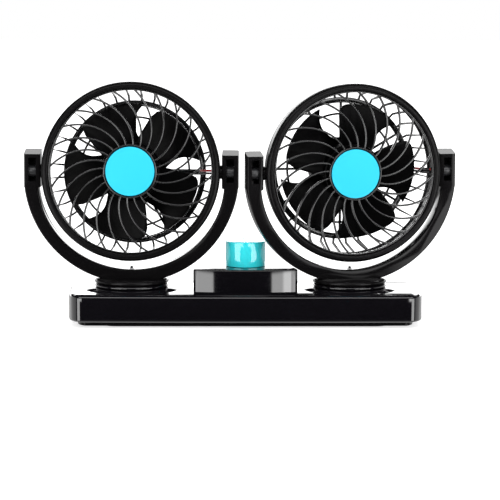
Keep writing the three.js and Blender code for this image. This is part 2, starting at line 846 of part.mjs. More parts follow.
// How far a rib has turned, in radians, where it reaches a radius, and its slope there.
function swirlAt(radius) {
  const along = (radius - guardHubRadius) / (guardRimInner - guardHubRadius);
  return radians(ribSwirl) * Math.pow(Math.max(along, 0), ribSwirlPower);
}

function ribHalfAngle(radius) {
  const span = guardRimInner - guardHubRadius;
  const along = (radius - guardHubRadius) / span;
  const turnRate = radians(ribSwirl) * ribSwirlPower * Math.pow(Math.max(along, 0), ribSwirlPower - 1) / span;
  return (ribThickness / 2 / radius) * Math.sqrt(1 + (radius * turnRate) ** 2);
}

function slot(index) {
  const pitch = (2 * Math.PI) / ribCount;
  const root = index * pitch + radians(ribPhase);
  const path = new THREE.Path();
  const points = [];
  const add = (radius, angle) => points.push(new THREE.Vector2(radius * Math.cos(angle), radius * Math.sin(angle)));
  const radiusAt = (step) => guardHubRadius + (guardRimInner - guardHubRadius) * (step / ribSteps);
  for (let step = 0; step <= ribSteps; step += 1) {
    const r = radiusAt(step);
    add(r, root + swirlAt(r) + ribHalfAngle(r));
  }
  for (let step = ribSteps; step >= 0; step -= 1) {
    const r = radiusAt(step);
    add(r, root + pitch + swirlAt(r) - ribHalfAngle(r));
  }
  path.setFromPoints(points);
  path.closePath();
  return path;
}

function circlePoints(radius, count) {
  return Array.from({ length: count }, (_, i) => {
    const turn = (i / count) * 2 * Math.PI;
    return new THREE.Vector2(radius * Math.cos(turn), radius * Math.sin(turn));
  });
}

function frontGuard() {
  const shape = new THREE.Shape(circlePoints(guardRimRadius, ringSegments));
  for (let i = 0; i < ribCount; i += 1) shape.holes.push(slot(i));
  const plate = new THREE.ExtrudeGeometry(shape, { depth: guardThickness, bevelEnabled: false });
  const place = plate.attributes.position;
  for (let i = 0; i < place.count; i += 1) {
    const radius = Math.hypot(place.getX(i), place.getY(i));
    const out = THREE.MathUtils.clamp((radius - guardHubRadius) / (guardRimInner - guardHubRadius), 0, 1);
    place.setZ(i, place.getZ(i) + guardSeat + guardDome * (1 - out * out));
  }
  const collar = ring(collarRadius - capCollarWall, collarRadius, guardHubFront - guardThickness / 2,
    guardHubFront + capCollarHeight, discSegments);
  return join(plate, collar);
}

function guardCap() {
  const low = guardHubFront + seatGap;
  const high = low + capThickness;
  return revolve([
    [0, low],
    [capRadius, low],
    [capRadius, high - capCrown],
    [capRadius - capCrown, high],
    [0, high + capCrown],
  ], discSegments);
}

const cageRimOuter = bezelRadius - bezelRearTaper;
const cageRimInner = cageRimOuter - cageRimWidth;
const cageRimFront = bezelRear - seatGap;
const cageRimRear = cageRimFront - cageRimThickness;
const cageFloor = bezelRear - cageDepth;
const cageFloorRear = cageFloor - cageFloorThickness;
const cageRingRadius = cageRimOuter - cageTaper;
const cageFootInner = cageRingRadius - cageFootWidth;
const frameRadius = cageFootInner - seatGap;
const motorTubeInner = motorRadius + seatGap;
const motorTubeOuter = motorTubeInner + motorWall;
const frameHubRadius = motorTubeOuter + frameHubFlange;
const frameMidRingRadius = frameHubRadius + (frameRadius - frameHubRadius) * frameMidRingShare;
const leadCircle = motorTubeOuter + leadTubeGap + leadRadius;
const motorFront = hubRear - motorHubGap;

// The cage behind the blades: sloping ribs from its rim down to its foot ring.
function rearGuard() {
  const rim = ring(cageRimInner, cageRimOuter, cageRimRear, cageRimFront);
  const foot = ring(cageFootInner, cageRingRadius, cageFloorRear, cageFloor);
  const rimMiddle = cageRimRear + cageRimThickness / 2;
  const footMiddle = cageFloorRear + cageFloorThickness / 2;
  const bar = new THREE.Shape([
    [cageRingRadius - cageRimSetback - cageRibDepth, footMiddle],
    [cageRingRadius - cageRimSetback, footMiddle],
    [cageRimOuter - cageRimSetback, rimMiddle],
    [cageRimOuter - cageRimSetback - cageRibDepth, rimMiddle],
  ].map(([radius, height]) => new THREE.Vector2(radius, height)));
  const pitch = (2 * Math.PI) / cageRibCount;
  const ribs = [];
  for (let i = 0; i < cageRibCount; i += 1) {
    const rib = new THREE.ExtrudeGeometry(bar, { depth: cageRibWidth, bevelEnabled: false });
    rib.translate(0, 0, -cageRibWidth / 2).rotateX(Math.PI / 2).rotateZ((i + 0.5) * pitch);
    ribs.push(rib);
  }
  return join(rim, foot, ...ribs);
}

// Openings of the motor frame: an inner and an outer row, each a sector between two spokes.
function floorOpening(index, count, inner, outer) {
  const pitch = (2 * Math.PI) / count;
  const half = (radius) => pitch / 2 - spokeWidth / 2 / radius;
  const middle = (index + 0.5) * pitch;
  const points = [];
  const add = (radius, angle) => points.push(new THREE.Vector2(radius * Math.cos(angle), radius * Math.sin(angle)));
  add(inner, middle - half(inner));
  add(outer, middle - half(outer));
  add(outer, middle + half(outer));
  add(inner, middle + half(inner));
  const path = new THREE.Path();
  path.setFromPoints(points);
  path.closePath();
  return path;
}

function motorFrame() {
  const spokes = frameSpokeCount;
  const shape = new THREE.Shape(circlePoints(frameRadius, 2 * spokes));
  shape.holes.push(new THREE.Path(circlePoints(motorTubeInner + motorWall / 2, hubSegments)));
  for (let i = 0; i < spokes; i += 1) {
    shape.holes.push(floorOpening(i, spokes, frameHubRadius, frameMidRingRadius - frameRingWidth / 2));
    shape.holes.push(floorOpening(i, spokes, frameMidRingRadius + frameRingWidth / 2, frameRadius - frameRingWidth));
  }
  const floor = new THREE.ExtrudeGeometry(shape, { depth: cageFloorThickness, bevelEnabled: false });
  floor.translate(0, 0, cageFloorRear);
  const tube = revolve([
    [motorTubeInner, cageFloorRear],
    [motorTubeOuter, cageFloorRear],
    [motorTubeOuter, motorFront + seatGap + motorTubeLip],
    [motorTubeLipRadius, motorFront + seatGap + motorTubeLip],
    [motorTubeLipRadius, motorFront + seatGap],
    [motorTubeInner, motorFront + seatGap],
    [motorTubeInner, cageFloorRear],
  ], hubSegments);
  const leadHoles = [-1, 1].map((sign) => rod(leadHoleRadius, cageFloorRear - cutOverrun, cageFloor + cutOverrun)
    .translate(leadCircle, sign * leadSpacing / 2, 0));
  return cut(join(floor, tube), ...leadHoles);
}

const motorRear = motorFront - motorLength;
const motorShaftFront = hubFront - hubWall - motorShaftEndWall;

function motorCan() {
  const can = revolve([
    [0, motorRear],
    [motorRadius - motorWall, motorRear],
    [motorRadius, motorRear + motorWall],
    [motorRadius, motorFront],
    [motorNoseRadius, motorFront],
    [motorNoseRadius, motorFront + motorNoseHeight],
    [0, motorFront + motorNoseHeight],
  ], collarSegments);
  return cut(can, rod(motorShaftRadius + seatGap, motorFront - motorNoseHeight, motorFront + motorNoseHeight + cutOverrun));
}

function motorShaft() {
  return rod(motorShaftRadius, motorFront - motorNoseHeight + seatGap, motorShaftFront);
}

const coverFront = cageFloorRear - seatGap;
const coverRear = motorRear - motorCoverGap - motorCoverWall;

function motorCover() {
  const [outer, e] = [frameHubRadius, motorCoverEdge];
  const cap = revolve([
    [0, coverRear],
    [outer - e, coverRear],
    [outer, coverRear + e],
    [outer, coverFront],
    [outer - motorCoverWall, coverFront],
    [outer - motorCoverWall, coverRear + motorCoverWall],
    [0, coverRear + motorCoverWall],
  ], hubSegments);
  const vents = Array.from({ length: motorCoverVentCount }, (_, i) => (
    rod(motorCoverVentRadius, coverRear - cutOverrun, coverRear + motorCoverWall + cutOverrun, motorCoverVentCount)
      .translate(motorCoverVentCircle, 0, 0).rotateZ((i / motorCoverVentCount) * 2 * Math.PI)));
  return cut(cap, ...vents);
}

const hubRadius = motorTubeOuter + hubTubeGap + hubWall;
const hubBossRadius = motorShaftRadius + seatGap + hubBossWall;
const hubBossRear = motorFront + motorNoseHeight + hubBossGap;
const bladeRadius = cageRingRadius - bladeTipGap;

// One blade as a closed sheet: its trailing corner is sharp and its leading corner is rounded.
function blade() {
  const pitch = (2 * Math.PI) / bladeCount;
  const root = hubRadius - hubWall / 2;
  const top = [];
  const bottom = [];
  for (let j = 0; j <= bladeRings; j += 1) {
    for (let i = 0; i <= bladeSteps; i += 1) {
      const u = i / bladeSteps;
      const v = j / bladeRings;
      const opening = (v - bladeGapClosesShare) / (1 - bladeGapClosesShare);
      const trim = radians(opening > 0 ? bladeGapTip / 2 * opening : bladeOverlapRoot * opening);
      const hollow = radians(bladeHollow) * Math.sin(Math.PI * v ** bladeHollowPower);
      const rounded = Math.max(0, (u - 1 + bladeCornerShare) / bladeCornerShare);
      const tip = bladeRadius - bladeCornerDrop * (1 - Math.sqrt(1 - rounded * rounded));
      const radius = root + (tip - root) * v;
      const angle = trim + hollow + (pitch - 2 * trim - hollow) * u;
      const rise = bladeRootRise + (bladeTipRise - bladeRootRise) * v;
      const height = bladeMiddle - bladeTipSetback * v - rise * (1 - 2 * u);
      const [x, y] = [radius * Math.cos(angle), radius * Math.sin(angle)];
      top.push([x, y, height + bladeThickness / 2]);
      bottom.push([x, y, height - bladeThickness / 2]);
    }
  }
  const row = bladeSteps + 1;
  const size = top.length;
  const index = [];
  const quad = (a, b, c, d) => index.push(a, b, c, a, c, d);
  for (let j = 0; j < bladeRings; j += 1) {
    for (let i = 0; i < bladeSteps; i += 1) {
      const a = j * row + i;
      quad(a, a + row, a + row + 1, a + 1);
      quad(size + a, size + a + 1, size + a + row + 1, size + a + row);
    }
  }
  const border = [];
  for (let i = 0; i < bladeSteps; i += 1) border.push(i);
  for (let j = 0; j < bladeRings; j += 1) border.push(j * row + bladeSteps);
  for (let i = bladeSteps; i > 0; i -= 1) border.push(bladeRings * row + i);
  for (let j = bladeRings; j > 0; j -= 1) border.push(j * row);
  border.forEach((a, k) => {
    const b = border[(k + 1) % border.length];
    quad(a, b, size + b, size + a);
  });
  const geometry = new THREE.BufferGeometry();
  geometry.setAttribute('position', new THREE.Float32BufferAttribute([...top, ...bottom].flat(), 3));
  geometry.setIndex(index);
  return geometry;
}

function impeller() {
  const e = hubEdgeRadius;
  const hub = revolve([
    [0, hubFront],
    [hubRadius - e, hubFront],
    [hubRadius - e * (1 - Math.SQRT1_2), hubFront - e * (1 - Math.SQRT1_2)],
    [hubRadius, hubFront - e],
    [hubRadius, hubRear],
    [hubRadius - hubWall, hubRear],
    [hubRadius - hubWall, hubFront - hubWall],
    [0, hubFront - hubWall],
  ], hubSegments);
  const boss = rod(hubBossRadius, hubBossRear, hubFront - hubWall / 2);
  const blades = Array.from({ length: bladeCount }, (_, i) => (
    blade().rotateZ((i / bladeCount) * 2 * Math.PI)));
  const bore = rod(motorShaftRadius + seatGap, hubBossRear - cutOverrun, motorShaftFront + seatGap);
  return cut(join(hub, boss, ...blades), bore);
}

function motorLead(sign) {
  const y = sign * leadSpacing / 2;
  const floor = cageFloor + leadLift;
  const wallTurn = cageRingRadius * leadTurnShare;
  const start = leadCircle;
  const route = new THREE.CatmullRomCurve3([
    new THREE.Vector3(start, y, cageFloorRear - cageFloorThickness),
    new THREE.Vector3(start, y, cageFloor),
    new THREE.Vector3(start + leadBend / 2, y, floor),
    new THREE.Vector3(start + 2 * leadBend, y, floor),
    new THREE.Vector3(wallTurn, y, floor),
    new THREE.Vector3(wallTurn + leadBend, y, cageFloor / 2),
    new THREE.Vector3(bezelRearBoreRadius - leadBend, y, -leadBend / 2),
    new THREE.Vector3(bezelRearBoreRadius, y, 0),
    new THREE.Vector3(shoulderRoot + leadBend, y, 0),
    new THREE.Vector3(bushEnd - leadBend, y, 0),
  ], false, 'centripetal');
  const section = new THREE.Shape(circlePoints(leadRadius, leadSides));
  return new THREE.ExtrudeGeometry(section, { steps: leadSteps, extrudePath: route, bevelEnabled: false });
}

// Assembly

piece(group, 'base_housing', baseHousing(), glossBlack);
piece(group, 'base_cover', baseCover(), blackPlastic);
piece(group, 'adhesive_pad', adhesivePad(), foam);
coverScrewPlaces().forEach(([x, y], i) => piece(group, `base_screw_${i + 1}`, coverScrew(x, y), steel));
piece(group, 'console_cover', consoleCover(), glossBlack);
piece(group, 'rotary_switch', rotarySwitch(), acetal);
piece(group, 'switch_shaft', rod(switchShaftRadius, consoleTop - switchShaftDepth, shaftTop)
  .translate(knobX, knobY, 0), steel);
piece(group, 'speed_knob', speedKnob(), bluePlastic);
piece(group, 'speed_board', speedBoard(), boardGreen);
piece(group, 'dropper_resistor', dropperResistor(), ceramic);
piece(group, 'cord_gland', cordGland(), rubber);

function buildFan(side, yaw, tilt, bladeTurn) {
  const swivel = new THREE.Group();
  swivel.position.set(swivelX[side], 0, 0);
  swivel.rotation.z = radians(yaw);
  group.add(swivel);
  piece(swivel, `${side}_turntable`, turntable(), glossBlack);
  piece(swivel, `${side}_yoke`, yoke(), blackPlastic);
  for (const [word, sign] of [['outer', side === 'left' ? -1 : 1], ['inner', side === 'left' ? 1 : -1]]) {
    piece(swivel, `${side}_${word}_pivot_cover`, pivotCover(sign), blackPlastic);
    piece(swivel, `${side}_${word}_pivot_bush`, pivotBush(sign), acetal);
  }
  piece(swivel, `${side}_swivel_screw`, swivelScrew(), steel);
  piece(swivel, `${side}_swivel_washer`,
    ring(screwHoleRadius, washerRadius, washerTop - washerThickness, washerTop, collarSegments), steel);
  piece(swivel, `${side}_swivel_nut`, swivelNut(), steel);

  const head = new THREE.Group();
  head.position.set(0, 0, pivotHeight);
  head.rotation.x = Math.PI / 2 - radians(tilt);
  swivel.add(head);
  piece(head, `${side}_bezel`, bezel(), blackPlastic);
  piece(head, `${side}_front_guard`, frontGuard(), blackPlastic);
  piece(head, `${side}_guard_cap`, guardCap(), bluePlastic);
  piece(head, `${side}_rear_guard`, rearGuard(), blackPlastic);
  piece(head, `${side}_motor_frame`, motorFrame(), blackPlastic);
  piece(head, `${side}_motor`, motorCan(), steel);
  piece(head, `${side}_motor_cover`, motorCover(), blackPlastic);
  piece(head, `${side}_red_lead`, motorLead(1), redLead);
  piece(head, `${side}_black_lead`, motorLead(-1), blackLead);

  const spin = new THREE.Group();
  spin.rotation.z = radians(bladeTurn);
  head.add(spin);
  piece(spin, `${side}_impeller`, impeller(), bladeBlack);
  piece(spin, `${side}_motor_shaft`, motorShaft(), steel);
}

buildFan('left', leftYaw, leftTilt, leftBladeTurn);
buildFan('right', rightYaw, rightTilt, rightBladeTurn);

export default group;
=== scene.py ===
"""Dual head car fan: two caged fan heads in swivelling yokes, on one glossy base with a blue speed knob.

Each part is modelled in millimetres in its own local frame, then set in its place in the row frame in metres.
Heads have local X to the viewer's right along the tilt axis, Y up and Z forward along the fan's axis.
"""

import json
import logging
import math
from collections.abc import Callable, Iterator, Sequence
from contextlib import contextmanager
from dataclasses import dataclass
from enum import Enum

import bmesh
import bpy
from mathutils import Matrix, Vector


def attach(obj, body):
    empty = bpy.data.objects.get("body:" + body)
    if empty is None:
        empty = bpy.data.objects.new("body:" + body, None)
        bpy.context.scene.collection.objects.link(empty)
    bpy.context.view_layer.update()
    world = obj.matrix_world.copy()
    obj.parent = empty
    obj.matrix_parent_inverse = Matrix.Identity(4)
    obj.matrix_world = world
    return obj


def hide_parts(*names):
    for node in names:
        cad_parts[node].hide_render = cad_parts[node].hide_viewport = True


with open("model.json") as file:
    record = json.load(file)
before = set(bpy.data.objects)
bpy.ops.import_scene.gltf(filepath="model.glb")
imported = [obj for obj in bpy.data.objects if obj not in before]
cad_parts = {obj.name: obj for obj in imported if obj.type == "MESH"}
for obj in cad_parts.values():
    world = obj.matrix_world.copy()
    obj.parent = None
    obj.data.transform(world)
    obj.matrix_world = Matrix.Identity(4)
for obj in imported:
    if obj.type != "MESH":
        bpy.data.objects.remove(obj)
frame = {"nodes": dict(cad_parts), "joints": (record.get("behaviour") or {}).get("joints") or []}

LOG = logging.getLogger("car_fan")

# Lengths, in millimetres but for MM, which is a millimetre in metres
MM = 0.001
WELD = 0.0005
CUT_OVERRUN = 1.0
JOIN_OVERLAP = 0.1
SEAT_GAP = 0.3

TURN = 2 * math.pi
SMOOTH_ANGLE = math.radians(32)

# Steps of a full turn, from the largest rings to the smallest studs
RING_STEPS = 144
TABLE_STEPS = 112
DISC_STEPS = 96
TUBE_STEPS = 72
STUD_STEPS = 48
SCREW_STEPS = 40

Pair = tuple[float, float]
Outline = Sequence[Pair]
Piece = bpy.types.Object
Tree = bpy.types.NodeTree
Socket = bpy.types.NodeSocket


class Side(Enum):
    """Which of the two fans a part belongs to, as the viewer sees them."""

    LEFT = "left"
    RIGHT = "right"


class Group(Enum):
    """Shader node groups that several finishes share."""

    GRAIN = "moulded_grain"
    HANDLING = "handling_marks"


# Modelling tools


def focus(*objects: Piece) -> None:
    """Selects only these objects and makes the first one active.

    Args:
        *objects: the objects, of which there is at least one.
    """
    bpy.ops.object.select_all(action="DESELECT")
    for obj in objects:
        obj.select_set(True)
    bpy.context.view_layer.objects.active = objects[0]


@contextmanager
def editing(obj: Piece) -> Iterator[None]:
    """Opens an object in edit mode with everything selected, and closes it again.

    Args:
        obj: the mesh object to edit.
    """
    focus(obj)
    bpy.ops.object.mode_set(mode="EDIT")
    bpy.ops.mesh.select_mode(type="VERT")
    bpy.ops.mesh.select_all(action="SELECT")
    yield
    bpy.ops.object.mode_set(mode="OBJECT")


def added(name: str) -> Piece:
    """Names the object that an operator has just added.

    Args:
        name: its new name.

    Returns:
        The object.
    """
    obj = bpy.context.object
    obj.name = name
    obj.data.name = name
    return obj


def select_edges(obj: Piece, wanted: Callable[[Vector, Vector], bool]) -> None:
    """Selects the edges of an object in edit mode by the places of their two ends.

    Args:
        obj: the object that is open in edit mode.
        wanted: says of an edge's two ends whether it is selected.
    """
    bpy.ops.mesh.select_mode(type="EDGE")
    bpy.ops.mesh.select_all(action="DESELECT")
    body = bmesh.from_edit_mesh(obj.data)
    for edge in body.edges:
        edge.select_set(wanted(edge.verts[0].co, edge.verts[1].co))
    bmesh.update_edit_mesh(obj.data)


def weld(obj: Piece) -> None:
    """Merges doubled points of an object and turns its faces outwards.

    Args:
        obj: the mesh object.
    """
    with editing(obj):
        bpy.ops.mesh.remove_doubles(threshold=WELD)
        bpy.ops.mesh.select_all(action="SELECT")
        bpy.ops.mesh.normals_make_consistent(inside=False)


def turned(name: str, profile: Outline, segments: int = DISC_STEPS) -> Piece:
    """Turns a profile round Z, as on a lathe.

    Args:
        name: the new object's name.
        profile: pairs of radius and height, from axis to axis or back to the first.
        segments: steps of the full turn.

    Returns:
        The turned solid.
    """
    bpy.ops.mesh.primitive_plane_add(size=1)
    obj = added(name)
    with editing(obj):
        bpy.ops.mesh.merge(type="CENTER")
        bpy.ops.transform.translate(value=(profile[0][0], 0, profile[0][1]))
        for (radius, height), (next_radius, next_height) in zip(profile, profile[1:]):
            step = (next_radius - radius, 0, next_height - height)
            bpy.ops.mesh.extrude_region_move(TRANSFORM_OT_translate={"value": step})
        bpy.ops.mesh.select_all(action="SELECT")
        bpy.ops.mesh.spin(steps=segments, angle=TURN, center=(0, 0, 0), axis=(0, 0, 1))
    weld(obj)
    return obj


def ring(name: str, radii: Pair, heights: Pair, segments: int = DISC_STEPS) -> Piece:
    """Turns a plain ring round Z.

    Args:
        name: the new object's name.
        radii: its inner and its outer radius.
        heights: the heights of its lower and its upper face.
        segments: steps of the full turn.

    Returns:
        The ring.
    """
    (inner, outer), (low, high) = radii, heights
    profile = [(inner, low), (outer, low), (outer, high), (inner, high), (inner, low)]
    return turned(name, profile, segments)


def plate(name: str, outline: Outline, low: float, high: float) -> Piece:
    """Extrudes a flat outline along Z.

    Args:
        name: the new object's name.
        outline: the corners of the outline in order.
        low: height of the lower face.
        high: height of the upper face.

    Returns:
        The closed plate.
    """
    bpy.ops.mesh.primitive_circle_add(vertices=len(outline), fill_type="NGON")
    obj = added(name)
    for vertex, point in zip(obj.data.vertices, outline):
        vertex.co = (*point, low)
    with editing(obj):
        bpy.ops.mesh.extrude_region_move(TRANSFORM_OT_translate={"value": (0, 0, high - low)})
    weld(obj)
    return obj


def box(name: str, low: Sequence[float], high: Sequence[float]) -> Piece:
    """Adds a block.

    Args:
        name: the new object's name.
        low: its lowest corner.
        high: its highest corner.

    Returns:
        The block.
    """
    middle = [(a + b) / 2 for a, b in zip(low, high)]
    bpy.ops.mesh.primitive_cube_add(size=1, location=middle)
    obj = added(name)
    obj.dimensions = [b - a for a, b in zip(low, high)]
    bpy.ops.object.transform_apply(location=True, rotation=True, scale=True)
    return obj


def sweep(name: str, route: Sequence[Vector], radius: float, rise: float = 0, steps: int = 6) -> Piece:
    """Lays a smooth curve through points and gives it a round or a flat-sided section.

    Args:
        name: the new object's name.
        route: the points that the centreline passes.
        radius: radius of the section's round edges.
        rise: half of the straight stretch between those edges, across the route.
        steps: points of the curve between two route points.

    Returns:
        The swept body with closed ends.
    """
    bpy.ops.curve.primitive_bezier_curve_add()
    obj = added(name)
    curve = obj.data
    curve.splines.clear()
    curve.twist_mode = "Z_UP"
    curve.resolution_u = steps
    curve.bevel_depth = radius
    curve.bevel_resolution = 3
    curve.extrude = rise
    curve.use_fill_caps = True
    spline = curve.splines.new("BEZIER")
    spline.bezier_points.add(len(route) - 1)
    for knot, point in zip(spline.bezier_points, route):
        knot.co = point
        knot.handle_left_type = "AUTO"
        knot.handle_right_type = "AUTO"
    bpy.ops.object.convert(target="MESH")
    solid = added(name)
    weld(solid)
    return solid


def joined(name: str, parts: Sequence[Piece]) -> Piece:
    """Joins parts into one object.

    Args:
        name: the joined object's name.
        parts: the parts, of which the first one's place is kept.

    Returns:
        The joined object.
    """
    focus(*parts)
    bpy.ops.object.join()
    return added(name)


def moved(obj: Piece, matrix: Matrix) -> Piece:
    """Applies a matrix to a part's mesh and returns the part."""
    obj.data.transform(matrix)
    return obj


def repeated(obj: Piece, count: int) -> Piece:
    """Copies a part round Z and joins the copies with it.

    Args:
        obj: the part to repeat.
        count: how many there are in a full turn.

    Returns:
        The joined part.
    """
    parts = [obj]
    for index in range(1, count):
        focus(obj)
        bpy.ops.object.duplicate()
        parts.append(moved(bpy.context.object, Matrix.Rotation(TURN * index / count, 4, "Z")))
    return joined(obj.name, parts)


def modified(obj: Piece, kind: str, **settings: object) -> Piece:
    """Adds a modifier and applies it.

    Args:
        obj: the part that it changes.
        kind: the modifier's type.
        **settings: its properties and their values.

    Returns:
        The part.
    """
    focus(obj)
    bpy.ops.object.modifier_add(type=kind)
    modifier = obj.modifiers[-1]
    for key, value in settings.items():
        setattr(modifier, key, value)
    bpy.ops.object.modifier_apply(modifier=modifier.name)
    return obj


def softened(obj: Piece, width: float, segments: int = 3, angle: float = 30) -> Piece:
    """Rounds the edges of a part that are sharper than an angle in degrees."""
    limit = {"limit_method": "ANGLE", "angle_limit": math.radians(angle)}
    return modified(obj, "BEVEL", width=width, segments=segments, **limit)


def carved(obj: Piece, *tools: Piece) -> Piece:
    """Cuts other parts out of a part.

    Args:
        obj: the part that is cut.
        *tools: the parts that cut it, which are deleted after that.

    Returns:
        The cut part.
    """
    for tool in tools:
        modified(obj, "BOOLEAN", operation="DIFFERENCE", solver="EXACT", object=tool)
        bpy.data.objects.remove(tool)
    return obj


def along_x(sign: int) -> Matrix:
    """The turn that lays a part's Z axis along X, to the right for 1 and to the left for -1."""
    return Matrix.Rotation(sign * TURN / 4, 4, "Y")


def along_y() -> Matrix:
    """The turn that lays a part's Z axis along Y, to the back."""
    return Matrix.Rotation(-TURN / 4, 4, "X")


def facing_x(sign: int) -> Matrix:
    """The turn that stands a flat part up with its face along X, to the right for 1, to the left for -1."""
    return Matrix(((0, 0, sign, 0), (sign, 0, 0, 0), (0, 1, 0, 0), (0, 0, 0, 1)))


def arc(centre: Pair, radii: Pair, start: float, end: float, steps: int) -> list[Pair]:
    """Points of an elliptic arc.

    Args:
        centre: the ellipse's middle.
        radii: its half widths along the two axes.
        start: first angle in degrees.
        end: last angle in degrees.
        steps: number of equal steps between them.

    Returns:
        The points, both ends included.
    """
    turns = [math.radians(start + (end - start) * i / steps) for i in range(steps + 1)]
    return [(centre[0] + radii[0] * math.cos(t), centre[1] + radii[1] * math.sin(t)) for t in turns]


def mirrored(points: Outline) -> list[Pair]:
    """The mirror image of points across the second axis, in reverse order."""
    return [(-x, y) for x, y in reversed(points)]


# Materials


def new_group(group: Group, inputs: dict[str, float], outputs: Sequence[str]) -> Tree:
    """Makes a shader node group with number sockets.

    Args:
        group: which group it is.
        inputs: each input's name and its value at first.
        outputs: the outputs' names.

    Returns:
        The group's node tree with its input and output nodes.
    """
    tree = bpy.data.node_groups.new(group.value, "ShaderNodeTree")
    for name, value in inputs.items():
        socket = tree.interface.new_socket(name=name, in_out="INPUT", socket_type="NodeSocketFloat")
        socket.default_value = value
    for name in outputs:
        tree.interface.new_socket(name=name, in_out="OUTPUT", socket_type="NodeSocketFloat")
    tree.nodes.new("NodeGroupInput")
    tree.nodes.new("NodeGroupOutput")
    return tree


def node(tree: Tree, kind: str, **settings: object) -> bpy.types.Node:
    """Adds a shader node.

    Args:
        tree: the node tree that it goes into.
        kind: the node's type.
        **settings: values of inputs, or of properties where no input has that name.

    Returns:
        The node.
    """
    made = tree.nodes.new(kind)
    for key, value in settings.items():
        if key in made.inputs:
            made.inputs[key].default_value = value
        else:
            setattr(made, key, value)
    return made


def maths(tree: Tree, operation: str, first: object, second: object = 0.0) -> Socket:
    """Adds a Math node.

    Args:
        tree: the node tree that it goes into.
        operation: what it works out.
        first: a socket or a number.
        second: a socket or a number.

    Returns:
        The socket of its result.
    """
    made = node(tree, "ShaderNodeMath", operation=operation)
    for socket, value in zip(made.inputs, (first, second)):
        if isinstance(value, bpy.types.NodeSocket):
            tree.links.new(value, socket)
        else:
            socket.default_value = value
    return made.outputs[0]


def product(tree: Tree, first: object, second: object) -> Socket:
    """Multiplies two sockets or numbers."""
    return maths(tree, "MULTIPLY", first, second)


def total(tree: Tree, first: object, *others: object) -> Socket:
    """Adds up sockets or numbers.

    Args:
        tree: the node tree that the Math nodes go into.
        first: the first of them.
        *others: the others, in the order of adding.

    Returns:
        The socket of their sum.
    """
    result = first
    for other in others:
        result = maths(tree, "ADD", result, other)
    return result


def ramp(tree: Tree, value: Socket, low: float, high: float) -> Socket:
    """Adds a smooth step.

    Args:
        tree: the node tree that it goes into.
        value: what it reads.
        low: the value where it is 0.
        high: the value where it is 1, which may be the lower one.

    Returns:
        The socket of the step.
    """
    made = node(tree, "ShaderNodeMapRange", interpolation_type="SMOOTHSTEP")
    tree.links.new(value, made.inputs["Value"])
    made.inputs["From Min"].default_value = low
    made.inputs["From Max"].default_value = high
    return made.outputs["Result"]


def band(tree: Tree, value: Socket, ends: Pair, soft: float) -> Socket:
    """Adds a band that is 0 outside its two ends and rises to 1 over a soft width inside them."""
    low, high = ends
    return product(tree, ramp(tree, value, low, low + soft), ramp(tree, value, high, high - soft))


def grain_group() -> Tree:
    """The fine erosion grain of moulded plastic: a height, and the roughness that goes with it.

    Returns:
        The group.
    """
    inputs = {"Scale": 2400.0, "Roughness": 0.3, "Spread": 0.04}
    tree = new_group(Group.GRAIN, inputs, ("Height", "Roughness"))
    source = tree.nodes["Group Input"].outputs
    place = node(tree, "ShaderNodeTexCoord")
    fine = node(tree, "ShaderNodeTexNoise", Detail=3.0)
    broad = node(tree, "ShaderNodeTexNoise", Scale=55.0, Detail=2.0)
    tree.links.new(source["Scale"], fine.inputs["Scale"])
    for texture in (fine, broad):
        tree.links.new(place.outputs["Object"], texture.inputs["Vector"])
    centred = maths(tree, "SUBTRACT", broad.outputs["Fac"], 0.5)
    swing = product(tree, centred, source["Spread"])
    result = tree.nodes["Group Output"].inputs
    tree.links.new(fine.outputs["Fac"], result["Height"])
    tree.links.new(total(tree, source["Roughness"], swing), result["Roughness"])
    return tree


def handling_group() -> Tree:
    """Faint smears of handling: where they lie the gloss is a little duller.

    Returns:
        The group.
    """
    inputs = {"Scale": 18.0, "Roughness": 0.08, "Smear": 0.05}
    tree = new_group(Group.HANDLING, inputs, ("Roughness", "Height"))
    source = tree.nodes["Group Input"].outputs
    place = node(tree, "ShaderNodeTexCoord")
    smear = node(tree, "ShaderNodeTexNoise", Detail=4.0, Distortion=1.2)
    ripple = node(tree, "ShaderNodeTexNoise", Scale=36.0, Detail=1.0)
    tree.links.new(source["Scale"], smear.inputs["Scale"])
    for texture in (smear, ripple):
        tree.links.new(place.outputs["Object"], texture.inputs["Vector"])
    smear_start, smear_full = 0.5, 0.75
    patch = ramp(tree, smear.outputs["Fac"], smear_start, smear_full)
    result = tree.nodes["Group Output"].inputs
    duller = product(tree, patch, source["Smear"])
    tree.links.new(total(tree, source["Roughness"], duller), result["Roughness"])
    tree.links.new(ripple.outputs["Fac"], result["Height"])
    return tree


